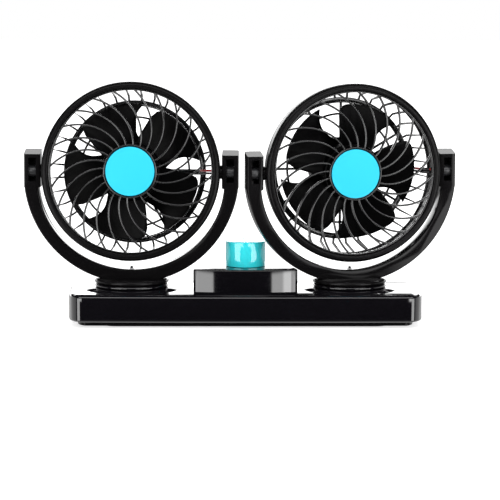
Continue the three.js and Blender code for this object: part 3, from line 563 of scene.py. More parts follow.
@dataclass(frozen=True)
class Finish:
    """One surface finish of the fan and the material that shows it.

    The record's slot, the colour and the shader's constant values are fields. The group gives the roughness
    and the fine relief that change over the surface, and tone is how far the colour's brightness varies.
    """

    name: str
    slot: str
    color: tuple[float, float, float]
    roughness: float = 0.3
    metallic: float = 0.0
    specular: float = 0.3
    group: Group = Group.GRAIN
    scale: float = 2400.0
    change: float = 0.05
    relief: float = 0.00002
    tone: float = 0.12

    def material(self) -> bpy.types.Material:
        """Builds the material, or returns it if it has been built.

        Returns:
            The material.
        """
        known = bpy.data.materials.get(self.name)
        if known:
            return known
        made = bpy.data.materials.new(self.name)
        made.use_nodes = True
        tree = made.node_tree
        shader = tree.nodes["Principled BSDF"]
        shader.inputs["Metallic"].default_value = self.metallic
        shader.inputs["Specular IOR Level"].default_value = self.specular
        effect = node(tree, "ShaderNodeGroup")
        effect.node_tree = bpy.data.node_groups[self.group.value]
        effect.inputs["Scale"].default_value = self.scale
        effect.inputs["Roughness"].default_value = self.roughness
        effect.inputs["Smear" if self.group is Group.HANDLING else "Spread"].default_value = self.change
        bump = node(tree, "ShaderNodeBump", Distance=self.relief, Strength=0.6)
        tree.links.new(effect.outputs["Height"], bump.inputs["Height"])
        tree.links.new(effect.outputs["Roughness"], shader.inputs["Roughness"])
        tree.links.new(bump.outputs["Normal"], shader.inputs["Normal"])
        self.link_tone(tree, shader)
        return made

    def link_tone(self, tree: Tree, shader: bpy.types.Node) -> None:
        """Varies the colour's brightness a little over the surface.

        Args:
            tree: the material's node tree.
            shader: its Principled BSDF.
        """
        place = node(tree, "ShaderNodeTexCoord")
        cloud = node(tree, "ShaderNodeTexNoise", Scale=40.0, Detail=2.0)
        blend = node(tree, "ShaderNodeMix", data_type="RGBA")
        for socket, value in (("A", 1 - self.tone), ("B", 1 + self.tone)):
            color = (*(min(1.0, channel * value) for channel in self.color), 1.0)
            next(i for i in blend.inputs if i.name == socket and i.type == "RGBA").default_value = color
        tree.links.new(place.outputs["Object"], cloud.inputs["Vector"])
        tree.links.new(cloud.outputs["Fac"], blend.inputs["Factor"])
        tree.links.new(next(o for o in blend.outputs if o.type == "RGBA"), shader.inputs["Base Color"])


GLOSS_BLACK = Finish(
    "gloss_black_abs", "gloss_black", (0.005, 0.0045, 0.006), roughness=0.05, specular=0.5,
    group=Group.HANDLING, scale=18.0, change=0.02, relief=0.000006,
)
SATIN_BLACK = Finish(
    "satin_black_abs", "black_plastic", (0.0045, 0.0042, 0.0045),
    roughness=0.26, specular=0.06, relief=0.00001,
)
YOKE_BLACK = Finish(
    "yoke_black_abs", "black_plastic", (0.0065, 0.006, 0.0065),
    roughness=0.12, specular=0.09, relief=0.000003,
)
GUARD_BLACK = Finish("guard_black_abs", "black_plastic", (0.007, 0.007, 0.0075), roughness=0.18, specular=0.5)
BLADE_BLACK = Finish(
    "blade_black_pp", "blade_plastic", (0.0013, 0.0012, 0.0013), roughness=0.35, specular=0.03,
)
CAP_BLUE = Finish("cap_blue_abs", "blue_plastic", (0.036, 0.70, 1.0), roughness=0.35, specular=0.2, tone=0.02)
# The knob's blue is the cap's blue made a quarter brighter: painted light that lifts the knob out of the
# shade between the yokes
KNOB_BLUE_LIFTED_FOR_SHADE = Finish(
    "knob_blue_abs", "blue_plastic", (0.05, 0.9, 1.0), roughness=0.07, specular=0.5,
    group=Group.HANDLING, scale=30.0, change=0.02, relief=0.00001, tone=0.02,
)
ZINC = Finish("zinc_plated_steel", "steel", (0.55, 0.56, 0.58), roughness=0.3, metallic=1.0, scale=900.0)
BLACK_STEEL = Finish(
    "blackened_steel", "steel", (0.02, 0.02, 0.022), roughness=0.35, metallic=0.6, scale=900.0,
)
FOAM = Finish(
    "adhesive_foam", "foam", (0.025, 0.025, 0.025), roughness=0.9, specular=0.1, scale=700.0, relief=0.0002,
)
ACETAL = Finish("dark_acetal", "acetal", (0.02, 0.02, 0.022), roughness=0.35, specular=0.35)
RUBBER = Finish("black_rubber", "rubber", (0.014, 0.014, 0.015), roughness=0.75, specular=0.2, scale=1500.0)
BOARD = Finish("fibreglass_board", "circuit_board", (0.02, 0.15, 0.06), roughness=0.4, scale=1200.0)
CERAMIC = Finish("white_ceramic", "ceramic", (0.7, 0.67, 0.58), roughness=0.7, scale=1600.0, relief=0.00006)
RED_PVC = Finish("red_lead_pvc", "red_lead", (0.46, 0.014, 0.018), roughness=0.35, specular=0.4)
BLACK_PVC = Finish("black_lead_pvc", "black_lead", (0.01, 0.01, 0.011), roughness=0.35, specular=0.4)


# Placing parts

BASE_PLACE = Matrix.Diagonal((MM, MM, MM, 1))

# How far each impeller is turned at rest, in degrees, and where its head's lead sleeve runs
BLADE_TURNS = {Side.LEFT: 3.9, Side.RIGHT: 36.6}
SLEEVE_ROUTES = {
    Side.LEFT: ((19.5, -25.2), (24.75, -25.2), (42.3, -25.2), (45.8, -13.6)),
    Side.RIGHT: ((50.2, -4.6), (51.9, -1.75), (55.0, 0.0)),
}


def joint(name: str) -> dict:
    """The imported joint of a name."""
    return next(found for found in frame["joints"] if found["name"] == name)


@dataclass(frozen=True)
class Places:
    """Where one fan's moving parts stand in the row frame, worked out from its joints."""

    side: Side

    def swivel(self) -> Matrix:
        """The swivelling parts' place: their Z axis is the swivel's and their X axis the tilt's.

        Returns:
            The place, from millimetres to the frame.
        """
        pivot = joint(f"{self.side.value}_swivel")["pos_m"]
        tilt = joint(f"{self.side.value}_tilt")["axis"]
        yaw = Matrix.Rotation(math.atan2(tilt[1], tilt[0]), 4, "Z")
        return Matrix.Translation((pivot[0], pivot[1], 0)) @ yaw @ BASE_PLACE

    def head(self) -> Matrix:
        """The head's place: X along the tilt axis, Z along the fan's axis, and the pivot at the origin.

        Returns:
            The place, from millimetres to the frame.
        """
        x = Vector(joint(f"{self.side.value}_tilt")["axis"]).normalized()
        z = Vector(joint(f"{self.side.value}_spin")["axis"]).normalized()
        y = z.cross(x).normalized()
        turn = Matrix((x, y, x.cross(y))).transposed().to_4x4()
        return Matrix.Translation(joint(f"{self.side.value}_tilt")["pos_m"]) @ turn @ BASE_PLACE


def settled(obj: Piece, place: Matrix, body: str, finish: Finish, replaced: Sequence[str]) -> None:
    """Sets a finished part in its place, dresses it and makes it ride on its body.

    Args:
        obj: the part, modelled in millimetres round its local origin.
        place: the matrix from there to the row frame.
        body: the body that it moves with.
        finish: its surface finish.
        replaced: the solids that it stands for.
    """
    moved(obj, place)
    focus(obj)
    bpy.ops.object.shade_smooth_by_angle(angle=SMOOTH_ANGLE)
    obj.data.materials.clear()
    obj.data.materials.append(finish.material())
    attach(obj, body)
    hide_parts(*replaced)
    LOG.info("%s rides on %s in %s", obj.name, body, finish.name)


def dressed(name: str, finish: Finish) -> None:
    """Gives a finish to a solid that keeps its own shape.

    Args:
        name: the solid's node.
        finish: its surface finish.
    """
    obj = frame["nodes"][name]
    obj.data.materials.clear()
    obj.data.materials.append(finish.material())
    LOG.info("%s keeps its shape in %s", name, finish.name)


def cross_head(name: str, radius: float, low: float, height: float) -> Piece:
    """Makes a domed screw head with a cross recess, facing along Z.

    Args:
        name: the new object's name.
        radius: the head's radius.
        low: where its flat side lies.
        height: how high its dome is.

    Returns:
        The head.
    """
    half_share, reach_share, depth_share = 0.13, 0.58, 0.55
    crown = arc((0, low), (radius, height), 0, 90, 8)
    head = turned(name, [(0, low), *crown[:-1], (0, low + height)], SCREW_STEPS)
    slot_half, reach, depth = radius * half_share, radius * reach_share, height * depth_share
    top = low + height + CUT_OVERRUN
    bars = [
        box("recess", (-reach, -slot_half, low + height - depth), (reach, slot_half, top)),
        box("recess", (-slot_half, -reach, low + height - depth), (slot_half, reach, top)),
    ]
    return carved(head, *bars)


@dataclass
class Base:
    """The base housing with its skirts, bottom cover, screws, adhesive pad and cord bush."""

    width: float = 236.0
    depth: float = 72.0
    top: float = 22.0
    foot: float = 4.0
    edge: float = 2.2
    foot_edge: float = 1.3
    corner: Pair = (9.0, 16.0)
    bow: float = 1.6
    wall: float = 2.2
    skirt_radius: float = 33.5
    skirt_break: Pair = (29.4, 0.7)
    skirt_top_radius: float = 26.0
    skirt_height: float = 1.6
    skirt_lip: float = 0.6
    skirt_edge: float = 0.2
    cover_inset: float = 5.6
    cover_thickness: float = 1.6
    cover_edge: float = 0.3
    pad_size: Pair = (190.0, 50.0)
    pad_thickness: float = 1.0
    pad_corner: float = 8.0
    pad_edge: float = 0.15
    screw_inset: Pair = (14.0, 13.0)
    screw_head_radius: float = 2.4
    screw_head_height: float = 1.2
    gland_radius: float = 3.7
    gland_bore: float = 1.9
    gland_flange_radius: float = 5.6
    gland_flange: float = 1.4
    gland_barrel: float = 4.2
    gland_height: float = 12.0
    gland_edge: float = 0.3

    def outline(self, inset: float = 0.0) -> list[Pair]:
        """The housing's plan: a long rounded rectangle whose front bows forward.

        Args:
            inset: how far inside the outer wall it runs.

        Returns:
            The outline's points, counterclockwise.
        """
        steps, front_steps = 10, 40
        half_w, half_d = self.width / 2 - inset, self.depth / 2 - inset
        corner_w, corner_d = self.corner[0] - inset / 2, self.corner[1] - inset / 2
        straight = half_w - corner_w
        front = -(half_d - self.bow)
        points = arc((-straight, front + corner_d), (corner_w, corner_d), 180, 270, steps)
        for i in range(1, front_steps):
            share = 2 * i / front_steps - 1
            points.append((share * straight, front - self.bow * (1 - share * share)))
        points += arc((straight, front + corner_d), (corner_w, corner_d), 270, 360, steps)
        points += arc((straight, half_d - corner_d), (corner_w, corner_d), 0, 90, steps)
        points += arc((-straight, half_d - corner_d), (corner_w, corner_d), 90, 180, steps)
        return points

    def build(self) -> None:
        """Builds and dresses every part of the base."""
        self.housing()
        self.skirts()
        self.cover()
        self.screws()
        self.pad()
        self.gland()
        for name, finish in (
            ("rotary_switch", ACETAL), ("speed_board", BOARD), ("dropper_resistor", CERAMIC),
            ("switch_shaft", ZINC),
        ):
            dressed(name, finish)

    def housing(self) -> None:
        """The housing: an extruded shell with rounded edges at its top and its foot, open below."""
        shell = plate("base_shell", self.outline(), self.foot, self.top)
        with editing(shell):
            select_edges(shell, lambda a, b: min(a.z, b.z) > self.top - WELD)
            bpy.ops.mesh.bevel(offset=self.edge, segments=5, affect="EDGES")
            select_edges(shell, lambda a, b: max(a.z, b.z) < self.foot + WELD)
            bpy.ops.mesh.bevel(offset=self.foot_edge, segments=4, affect="EDGES")
        cavity = plate("cavity", self.outline(self.wall), self.foot - CUT_OVERRUN, self.top - self.wall)
        carved(shell, cavity)
        settled(shell, BASE_PLACE, "base", GLOSS_BLACK, ("base_housing",))

    def skirts(self) -> None:
        """The flared skirt under each turntable."""
        for side in Side:
            swivel = joint(f"{side.value}_swivel")["pos_m"]
            low, high = self.top - self.skirt_lip, self.top + self.skirt_height
            cone = [(self.skirt_break[0], self.top + self.skirt_break[1]), (self.skirt_top_radius, high)]
            profile = [(0, low), (self.skirt_radius, low), *cone, (0, high)]
            skirt = turned(f"{side.value}_skirt", profile, TABLE_STEPS)
            softened(skirt, self.skirt_edge, 2, angle=40)
            place = Matrix.Translation((swivel[0], swivel[1], 0)) @ BASE_PLACE
            settled(skirt, place, "base", GLOSS_BLACK, ("base_housing",))

    def cover(self) -> None:
        """The bottom cover: a plate inside the housing's foot, and a smaller block under it."""
        plate_top = self.foot + self.cover_thickness
        upper = plate("base_bottom", self.outline(self.wall + SEAT_GAP), self.foot, plate_top)
        rim = plate("rim", self.outline(self.cover_inset), self.pad_thickness, self.foot + JOIN_OVERLAP)
        cover = joined("base_bottom", [upper, softened(rim, self.cover_edge, 2)])
        settled(cover, BASE_PLACE, "base", SATIN_BLACK, ("base_cover",))

    def screws(self) -> None:
        """The four cross-head screws that close the bottom."""
        x = self.width / 2 - self.screw_inset[0]
        y = self.depth / 2 - self.screw_inset[1]
        places = [(sign_x * x, sign_y * y) for sign_x in (-1, 1) for sign_y in (-1, 1)]
        for number, (at_x, at_y) in enumerate(places, start=1):
            head = cross_head(f"bottom_screw_{number}", self.screw_head_radius, 0, self.screw_head_height)
            flip = Matrix.Translation((at_x, at_y, self.pad_thickness + self.screw_head_height))
            moved(head, flip @ Matrix.Rotation(TURN / 2, 4, "X"))
            settled(head, BASE_PLACE, "base", ZINC, (f"base_screw_{number}",))

    def pad(self) -> None:
        """The adhesive foam pad under the bottom."""
        half_w, half_d = self.pad_size[0] / 2, self.pad_size[1] / 2
        r = self.pad_corner
        points = []
        for sx, sy, start in ((1, -1, 270), (1, 1, 0), (-1, 1, 90), (-1, -1, 180)):
            points += arc((sx * (half_w - r), sy * (half_d - r)), (r, r), start, start + 90, 8)
        pad = softened(plate("foam_pad", points, 0, self.pad_thickness), self.pad_edge, 2)
        settled(pad, BASE_PLACE, "base", FOAM, ("adhesive_pad",))

    def gland(self) -> None:
        """The rubber bush where the cord enters at the back."""
        back = self.depth / 2
        profile = [
            (self.gland_bore, back - self.gland_barrel), (self.gland_radius, back - self.gland_barrel),
            (self.gland_radius, back), (self.gland_flange_radius, back),
            (self.gland_flange_radius, back + self.gland_flange / 2),
            (self.gland_radius, back + self.gland_flange), (self.gland_bore, back + self.gland_flange),
            (self.gland_bore, back - self.gland_barrel),
        ]
        bush = softened(turned("cord_bush", profile, STUD_STEPS), self.gland_edge, 3)
        moved(bush, Matrix.Translation((0, 0, self.gland_height)) @ along_y())
        settled(bush, BASE_PLACE, "base", RUBBER, ("cord_gland",))


@dataclass
class Console:
    """The console pod in the middle of the base and the speed knob on it."""

    front_half: float = 35.0
    mid_half: float = 30.4
    back_half: float = 22.0
    front: float = -16.5
    mid: float = 9.0
    back: float = 25.5
    bow: float = 3.0
    corner: float = 3.4
    corner_end: float = 350.0
    back_start: float = 12.0
    back_shift: float = 1.0
    low: float = 21.9
    top: float = 37.0
    edge: float = 0.9
    wall: float = 2.0
    lean: float = 1.25
    shaft_hole: float = 4.6
    knob_at: Pair = (0.4, 6.0)
    knob_radius: float = 13.5
    knob_low: float = 37.3
    knob_recess: Pair = (5.4, 38.4)
    knob_top: float = 54.1
    knob_edge: float = 0.6
    mark_width: float = 1.2
    mark_length: float = 7.0
    mark_depth: float = 0.5

    def outline(self, inset: float = 0.0) -> list[Pair]:
        """The pod's plan: widest at its bowed front, drawn in to the back.

        Args:
            inset: how far inside the outer wall it runs.

        Returns:
            The outline's points, counterclockwise.
        """
        c, n, corner_steps, back_steps, nose_steps = self.corner, inset, 8, 10, 40
        front, half = self.front + n, self.front_half - n
        mid_half, back_half = self.mid_half - n, self.back_half - n / 2
        lean = math.degrees(math.atan2(4 * self.bow, 2 * (half - c)))
        right = arc((half - c, front + c), (c, c), 270 + lean, self.corner_end, corner_steps)
        right += [(mid_half, self.mid)]
        reach = (mid_half - back_half + self.back_shift, self.back - n - self.mid)
        right += arc((back_half - self.back_shift, self.mid), reach, self.back_start, 90, back_steps)
        nose = []
        for i in range(1, nose_steps):
            share = 2 * i / nose_steps - 1
            nose.append((share * (half - c), front - self.bow * (1 - share * share)))
        return nose + right + mirrored(right)

    def build(self) -> None:
        """Builds and dresses the pod and the knob."""
        self.pod()
        self.knob()

    def pod(self) -> None:
        """The hollow pod, whose front leans back towards its top, with the hole for the switch's shaft."""
        pod = plate("console_pod", self.outline(), self.low, self.top)
        for vertex in pod.data.vertices:
            if vertex.co.z > self.top - WELD and vertex.co.y < self.mid:
                vertex.co.y += self.lean * (self.mid - vertex.co.y) / (self.mid - self.front)
        with editing(pod):
            select_edges(pod, lambda a, b: min(a.z, b.z) > self.top - WELD)
            bpy.ops.mesh.bevel(offset=self.edge, segments=5, affect="EDGES")
        hollow = plate("hollow", self.outline(self.wall), self.low - CUT_OVERRUN, self.top - self.wall)
        above = 2 * self.top
        profile = [(0, self.low), (self.shaft_hole, self.low), (self.shaft_hole, above), (0, above)]
        hole = moved(turned("hole", profile, STUD_STEPS), Matrix.Translation((*self.knob_at, 0)))
        carved(pod, hollow, hole)
        settled(pod, BASE_PLACE, "base", GLOSS_BLACK, ("console_cover",))

    def knob(self) -> None:
        """The round knob with its pointer groove and the recess round the switch's shaft."""
        r, e = self.knob_radius, self.knob_edge
        rim = arc((r - e, self.knob_top - e), (e, e), 0, 90, 5)
        foot = arc((r - e / 6, self.knob_low + e / 6), (e / 6, e / 6), 270, 360, 3)
        bore, ceiling = self.knob_recess
        start = [(0, ceiling), (bore, ceiling), (bore, self.knob_low)]
        knob = turned("blue_knob", [*start, *foot, *rim, (0, self.knob_top)])
        groove = box(
            "groove",
            (-self.mark_width / 2, -r + e, self.knob_top - self.mark_depth),
            (self.mark_width / 2, -r + e + self.mark_length, self.knob_top + CUT_OVERRUN),
        )
        carved(knob, groove)
        moved(knob, Matrix.Translation((*self.knob_at, 0)))
        settled(knob, BASE_PLACE, "knob", KNOB_BLUE_LIFTED_FOR_SHADE, ("speed_knob",))


@dataclass
class Yoke:
    """One swivelling yoke with its turntable, pivot covers, bushes and fastening."""

    side: Side
    pivot: float = 101.4
    inner_half: float = 62.5
    inner_drop: float = 66.0
    straight: float = 6.0
    outer_half: float = 72.3
    outer_drop: float = 74.9
    outer_sink: float = 2.0
    depth: float = 11.0
    rise: float = 14.6
    housing_drop: float = 10.5
    arm_half: float = 69.0
    edge: float = 0.9
    window_inner: float = 64.0
    window_rise: float = 9.2
    window_drop: float = 6.6
    window_back: float = 1.1
    brow_height: float = 2.9
    brow_depth: float = 11.0
    pad_thickness: float = 1.6
    pad_bore: float = 4.9
    bush_seat: float = 4.0
    cover_thickness: float = 3.0
    cover_corner: float = 1.2
    cover_edge: float = 0.9
    foot_low: float = 26.5
    foot_thickness: float = 3.0
    foot_rim: float = 1.4
    table_radius: float = 25.0
    table_low: float = 23.9
    table_high: float = 26.2
    table_rim: float = 1.1
    table_bore: float = 1.8
    spigot_radius: float = 9.0
    spigot_low: float = 18.6
    bush_inner: float = 3.2
    bush_outer: float = 4.0
    bush_end: float = 70.0
    bush_edge: float = 0.2
    screw_radius: float = 1.5
    screw_height: float = 0.4
    button_radius: float = 0.9
    button_height: float = 1.7

    def body(self) -> str:
        """The body that the yoke's parts ride on."""
        return f"{self.side.value}_swivel_body"

    def place(self) -> Matrix:
        """Where the yoke's parts stand in the row frame."""
        return Places(self.side).swivel()

    def named(self, part: str) -> str:
        """A part's name with its side before it."""
        return f"{self.side.value}_{part}"

    def outline(self) -> list[Pair]:
        """The yoke's face, measured from the pivot: two arms with thicker tops, and an elliptic bow below.

        Returns:
            The outline's points.
        """
        steps = 72
        outer_rise = self.outer_drop - self.outer_sink
        start = math.degrees(math.asin((self.housing_drop - self.outer_sink) / outer_rise))
        inner = arc((0, -self.straight), (self.inner_half, self.inner_drop - self.straight), 180, 360, steps)
        outer = arc((0, -self.outer_sink), (self.outer_half, outer_rise), -start, -180 + start, steps)
        pad = self.inner_half - self.pad_thickness
        below = [point for point in inner if point[1] < -self.housing_drop]
        return [
            (-pad, self.rise), (-pad, -self.housing_drop), *below,
            (pad, -self.housing_drop), (pad, self.rise), (self.arm_half, self.rise),
            (self.arm_half, -self.housing_drop), *outer, (-self.arm_half, -self.housing_drop),
            (-self.arm_half, self.rise),
        ]

    def build(self) -> None:
        """Builds and dresses every part that swivels but doesn't tilt."""
        self.bow()
        self.turntable()
        self.screw()
        outward = -1 if self.side is Side.LEFT else 1
        for word, sign in (("outer", outward), ("inner", -outward)):
            self.pivot_cover(word, sign)
            self.bush(word, sign)
        for part in ("swivel_washer", "swivel_nut"):
            dressed(self.named(part), ZINC)

    def bow(self) -> None:
        """The C-shaped bow with its rounded edges, sloping arm tops, pivot windows and foot disc."""
        arms = plate(self.named("yoke_bow"), self.outline(), -self.depth / 2, self.depth / 2)
        with editing(arms):
            select_edges(arms, self.is_rounded)
            bpy.ops.mesh.bevel(offset=self.edge, segments=4, affect="EDGES")
        upright = Matrix.Translation((0, 0, self.pivot)) @ Matrix.Rotation(TURN / 4, 4, "X")
        moved(arms, upright)
        tools = []
        for sign in (-1, 1):
            ends = sorted((sign * self.window_inner, sign * (self.arm_half + CUT_OVERRUN)))
            tools.append(box(
                "window",
                (ends[0], -self.depth / 2 - CUT_OVERRUN, self.pivot - self.window_drop),
                (ends[1], self.depth / 2 - self.window_back, self.pivot + self.window_rise),
            ))
            wide, narrow, mouth = self.pad_bore, self.bush_outer + SEAT_GAP, self.pad_thickness + CUT_OVERRUN
            end = mouth + self.bush_seat
            profile = [(0, 0), (wide, 0), (wide, mouth), (narrow, mouth), (narrow, end), (0, end)]
            bore = turned("bore", profile, STUD_STEPS)
            place = Matrix.Translation((sign * (self.inner_half - mouth), 0, self.pivot)) @ along_x(sign)
            tools.append(moved(bore, place))
        carved(arms, self.brow(), *tools)
        low, high, e = self.foot_low, self.foot_low + self.foot_thickness, self.foot_rim
        rim = arc((self.table_radius - e, (low + high) / 2), (e, (high - low) / 2), -90, 90, 10)
        foot = turned("foot", [(0, low), *rim, (0, high)], TABLE_STEPS)
        bow = joined(self.named("yoke_bow"), [arms, foot])
        settled(bow, self.place(), self.body(), YOKE_BLACK, (self.named("yoke"),))

    def is_rounded(self, a: Vector, b: Vector) -> bool:
        """Says of an edge of the flat bow whether it is rounded: all round both faces, but not under a cover.

        Args:
            a: one end of the edge.
            b: its other end.

        Returns:
            Whether it is rounded.
        """
        across = abs(a.z - b.z) > WELD
        side = all(abs(abs(end.x) - self.arm_half) < WELD for end in (a, b))
        shelf = all(abs(end.y + self.housing_drop) < WELD for end in (a, b)) and abs(a.x) > self.inner_half
        return not (across or side or shelf)

    def brow(self) -> Piece:
        """The wedge that is cut off both arm tops, which slope down to the front.

        Returns:
            The wedge.
        """
        front, top = -self.depth / 2, self.pivot + self.rise
        low, slope, over = top - self.brow_height, self.brow_depth / self.brow_height, CUT_OVERRUN
        points = [
            (front - over, low), (front, low), (front + self.brow_depth + slope * over, top + over),
            (front - over, top + over),
        ]
        return moved(plate("brow", points, -2 * self.arm_half, 2 * self.arm_half), facing_x(1))

    def turntable(self) -> None:
        """The polished turntable disc with its spigot."""
        low, high, e, bore = self.table_low, self.table_high, self.table_rim, self.table_bore
        rim = arc((self.table_radius - e, (low + high) / 2), (e, (high - low) / 2), -90, 90, 10)
        profile = [
            (bore, self.spigot_low), (self.spigot_radius, self.spigot_low), (self.spigot_radius, low),
            *rim, (bore, high), (bore, self.spigot_low),
        ]
        disc = turned(self.named("turntable_disc"), profile, TABLE_STEPS)
        settled(disc, self.place(), self.body(), GLOSS_BLACK, (self.named("turntable"),))

    def screw(self) -> None:
        """The flat head of the swivel screw with its drive button, on the inner side of the bow."""
        seat = self.pivot - self.inner_drop + SEAT_GAP
        r, flat, e = self.button_radius, seat + self.screw_height, self.button_radius / 2
        crown = arc((r - e, seat + self.button_height - e), (e, e), 0, 90, 4)
        profile = [
            (0, seat), (self.screw_radius, seat), (self.screw_radius, flat), (r, flat), *crown,
            (0, seat + self.button_height),
        ]
        head = turned(self.named("yoke_screw"), profile, SCREW_STEPS)
        settled(head, self.place(), self.body(), BLACK_STEEL, (self.named("swivel_screw"),))

    def pivot_cover(self, word: str, sign: int) -> None:
        """The plate over the outer side of a pivot housing.

        Args:
            word: outer or inner, by where the arm stands on the base.
            sign: -1 for the arm on the viewer's left, 1 for the right.
        """
        half, low, e = self.depth / 2, -self.housing_drop, self.cover_corner
        points = [(-half, low), (half, low)]
        points += arc((half - e, self.rise - e), (e, e), 0, 90, 6)
        points += arc((-half + e, self.rise - e), (e, e), 90, 180, 6)
        outside = self.cover_thickness
        cover = plate(self.named(f"{word}_cap"), points, 0, outside)
        with editing(cover):
            select_edges(cover, lambda a, b: min(a.z, b.z) > outside - WELD and max(a.y, b.y) > low + WELD)
            bpy.ops.mesh.bevel(offset=self.cover_edge, segments=4, affect="EDGES")
        start = Matrix.Translation((sign * self.arm_half, 0, self.pivot))
        moved(cover, start @ facing_x(sign))
        carved(cover, self.brow())
        settled(cover, self.place(), self.body(), YOKE_BLACK, (self.named(f"{word}_pivot_cover"),))

    def bush(self, word: str, sign: int) -> None:
        """The bush round a tilt journal, which shows in the pivot window.

        Args:
            word: outer or inner, by where the arm stands on the base.
            sign: -1 for the arm on the viewer's left, 1 for the right.
        """
        radii, ends = (self.bush_inner, self.bush_outer), (self.inner_half + SEAT_GAP, self.bush_end)
        sleeve = softened(ring(self.named(f"{word}_sleeve"), radii, ends, STUD_STEPS), self.bush_edge, 2)
        moved(sleeve, Matrix.Translation((0, 0, self.pivot)) @ along_x(sign))
        settled(sleeve, self.place(), self.body(), ACETAL, (self.named(f"{word}_pivot_bush"),))


@dataclass
class Head:
    """One tilting head: bezel, front guard with its cap, rear cage, motor frame and cover, and leads.

    The sleeve is the route of the black sleeve over the leads, in pairs: the place along X, and the place
    along the fan's axis.
    """

    side: Side
    sleeve: Sequence[Pair]
    bezel_radius: float = 60.0
    bezel_front: float = 12.2
    bezel_rear: float = -5.0
    bezel_edge: float = 0.35
    mouth: float = 55.3
    rear_bore: float = 55.9
    ledge: float = 54.5
    ledge_front: float = 8.5
    ledge_thickness: float = 3.6
    nose: float = 2.7
    rear_taper: float = 2.1
    shoulder: float = 4.6
    shoulder_root: float = 56.5
    journal: float = 2.9
    journal_end: float = 70.0
    trunnion_bore: float = 1.9
    trunnion_edge: float = 0.25
    yoke_inner: float = 62.2
    rib_count: int = 24
    rib_width: float = 1.4
    rib_flat: float = 0.05
    rib_root: float = 1.0
    rib_swirl: float = 33.5
    rib_power: float = 1.3
    rib_phase: float = 9.1
    rim_width: float = 0.6
    rim_overlap: float = 0.2
    rim_edge: float = 0.25
    ring_edge: float = 0.4
    guard_thickness: float = 2.4
    guard_dome: float = 2.0
    guard_hub: float = 18.0
    cap_radius: float = 16.4
    cap_thickness: float = 1.3
    cap_step: float = 0.5
    cap_crown: float = 0.35
    cap_edge: float = 0.12
    collar_wall: float = 0.9
    collar_height: float = 1.3
    cage_ribs: int = 36
    cage_spokes: int = 12
    cage_rib_width: float = 1.3
    cage_rib_depth: float = 2.2
    cage_rib_edge: float = 0.15
    cage_floor: float = -27.2
    cage_floor_thickness: float = 2.0
    cage_radius: float = 48.6
    cage_foot: float = 3.0
    frame_radius: float = 45.55
    frame_ring: float = 0.8
    frame_mid: float = 37.2
    frame_mid_half: float = 0.7
    cage_rim_width: float = 2.6
    cage_rim_thickness: float = 2.0
    cage_setback: float = 0.8
    cage_elbow: float = 52.4
    cage_taper: float = 0.35
    spoke: float = 1.6
    spoke_root: float = 0.5
    spoke_edge: float = 0.35
    cage_hub: float = 21.0
    tube_inner: float = 14.1
    tube_outer: float = 15.7
    tube_front: float = -8.8
    tube_lip: float = 6.0
    tube_lip_thickness: float = 1.3
    cover_depth: float = 8.4
    cover_edge: float = 2.4
    cover_wall: float = 1.6
    cover_rim_edge: float = 0.3
    vent_radius: float = 1.1
    vent_circle: float = 9.0
    vent_count: int = 6
    lead_radius: float = 0.75
    lead_spacing: float = 1.8
    lead_start: float = 17.0
    lead_tail: float = 4.0
    lead_lift: float = 2.0
    lead_bend: float = 3.5
    lead_turn_share: float = 0.87
    sleeve_wall: float = 0.3

    def body(self) -> str:
        """The body that the head's parts ride on."""
        return f"{self.side.value}_head"

    def place(self) -> Matrix:
        """Where the head's parts stand in the row frame."""
        return Places(self.side).head()

    def named(self, part: str) -> str:
        """A part's name with its side before it."""
        return f"{self.side.value}_{part}"

    def build(self) -> None:
        """Builds and dresses every part that tilts but doesn't spin."""
        self.bezel()
        self.front_guard()
        self.cap()
        self.cage()
        self.motor_frame()
        self.motor_cover()
        self.leads()
        dressed(self.named("motor"), ZINC)

    def bezel(self) -> None:
        """The bezel ring with its rolled front edge and the two trunnions."""
        n, front = self.nose, self.bezel_front
        nose = arc((self.bezel_radius - n, front - n), (n, n), 0, 90, 8)
        lip = arc((self.mouth + n / 3, front - n / 3), (n / 3, n / 3), 90, 180, 5)
        profile = [
            (self.rear_bore, self.bezel_rear), (self.bezel_radius - self.rear_taper, self.bezel_rear),
            (self.bezel_radius - self.rear_taper / 3, self.bezel_rear / 6 + front / 6),
            (self.bezel_radius, front - 2 * n), *nose, *lip,
            (self.mouth, self.ledge_front), (self.ledge, self.ledge_front),
            (self.ledge, self.ledge_front - self.ledge_thickness / 2),
            (self.rear_bore, self.ledge_front - self.ledge_thickness), (self.rear_bore, self.bezel_rear),
        ]
        body = softened(turned(self.named("bezel_ring"), profile, RING_STEPS), self.bezel_edge, 2, angle=40)
        bore = self.trunnion_bore
        trunnions = []
        for sign in (-1, 1):
            stub = turned("trunnion", [
                (bore, self.shoulder_root), (self.shoulder, self.shoulder_root),
                (self.shoulder, self.yoke_inner), (self.journal, self.yoke_inner),
                (self.journal, self.journal_end), (bore, self.journal_end), (bore, self.shoulder_root),
            ], SCREW_STEPS)
            trunnions.append(moved(softened(stub, self.trunnion_edge, 2), along_x(sign)))
        whole = joined(self.named("bezel_ring"), [body, *trunnions])
        settled(whole, self.place(), self.body(), SATIN_BLACK, (self.named("bezel"),))

    def share_along(self, radius: float) -> float:
        """How far along a rib a radius lies, from 0 at the hub to 1 at the rim."""
        share = (radius - self.guard_hub) / (self.mouth - self.rim_width - self.guard_hub)
        return max(0.0, min(1.0, share))

    def rib_angle(self, radius: float) -> float:
        """The angle of a rib's middle line at a radius, in radians."""
        return math.radians(self.rib_phase + self.rib_swirl * self.share_along(radius) ** self.rib_power)

    def dome(self, radius: float) -> float:
        """The height of a rib's middle line at a radius."""
        middle = self.ledge_front + SEAT_GAP + self.guard_thickness / 2
        return middle + self.guard_dome * (1 - self.share_along(radius) ** 2)

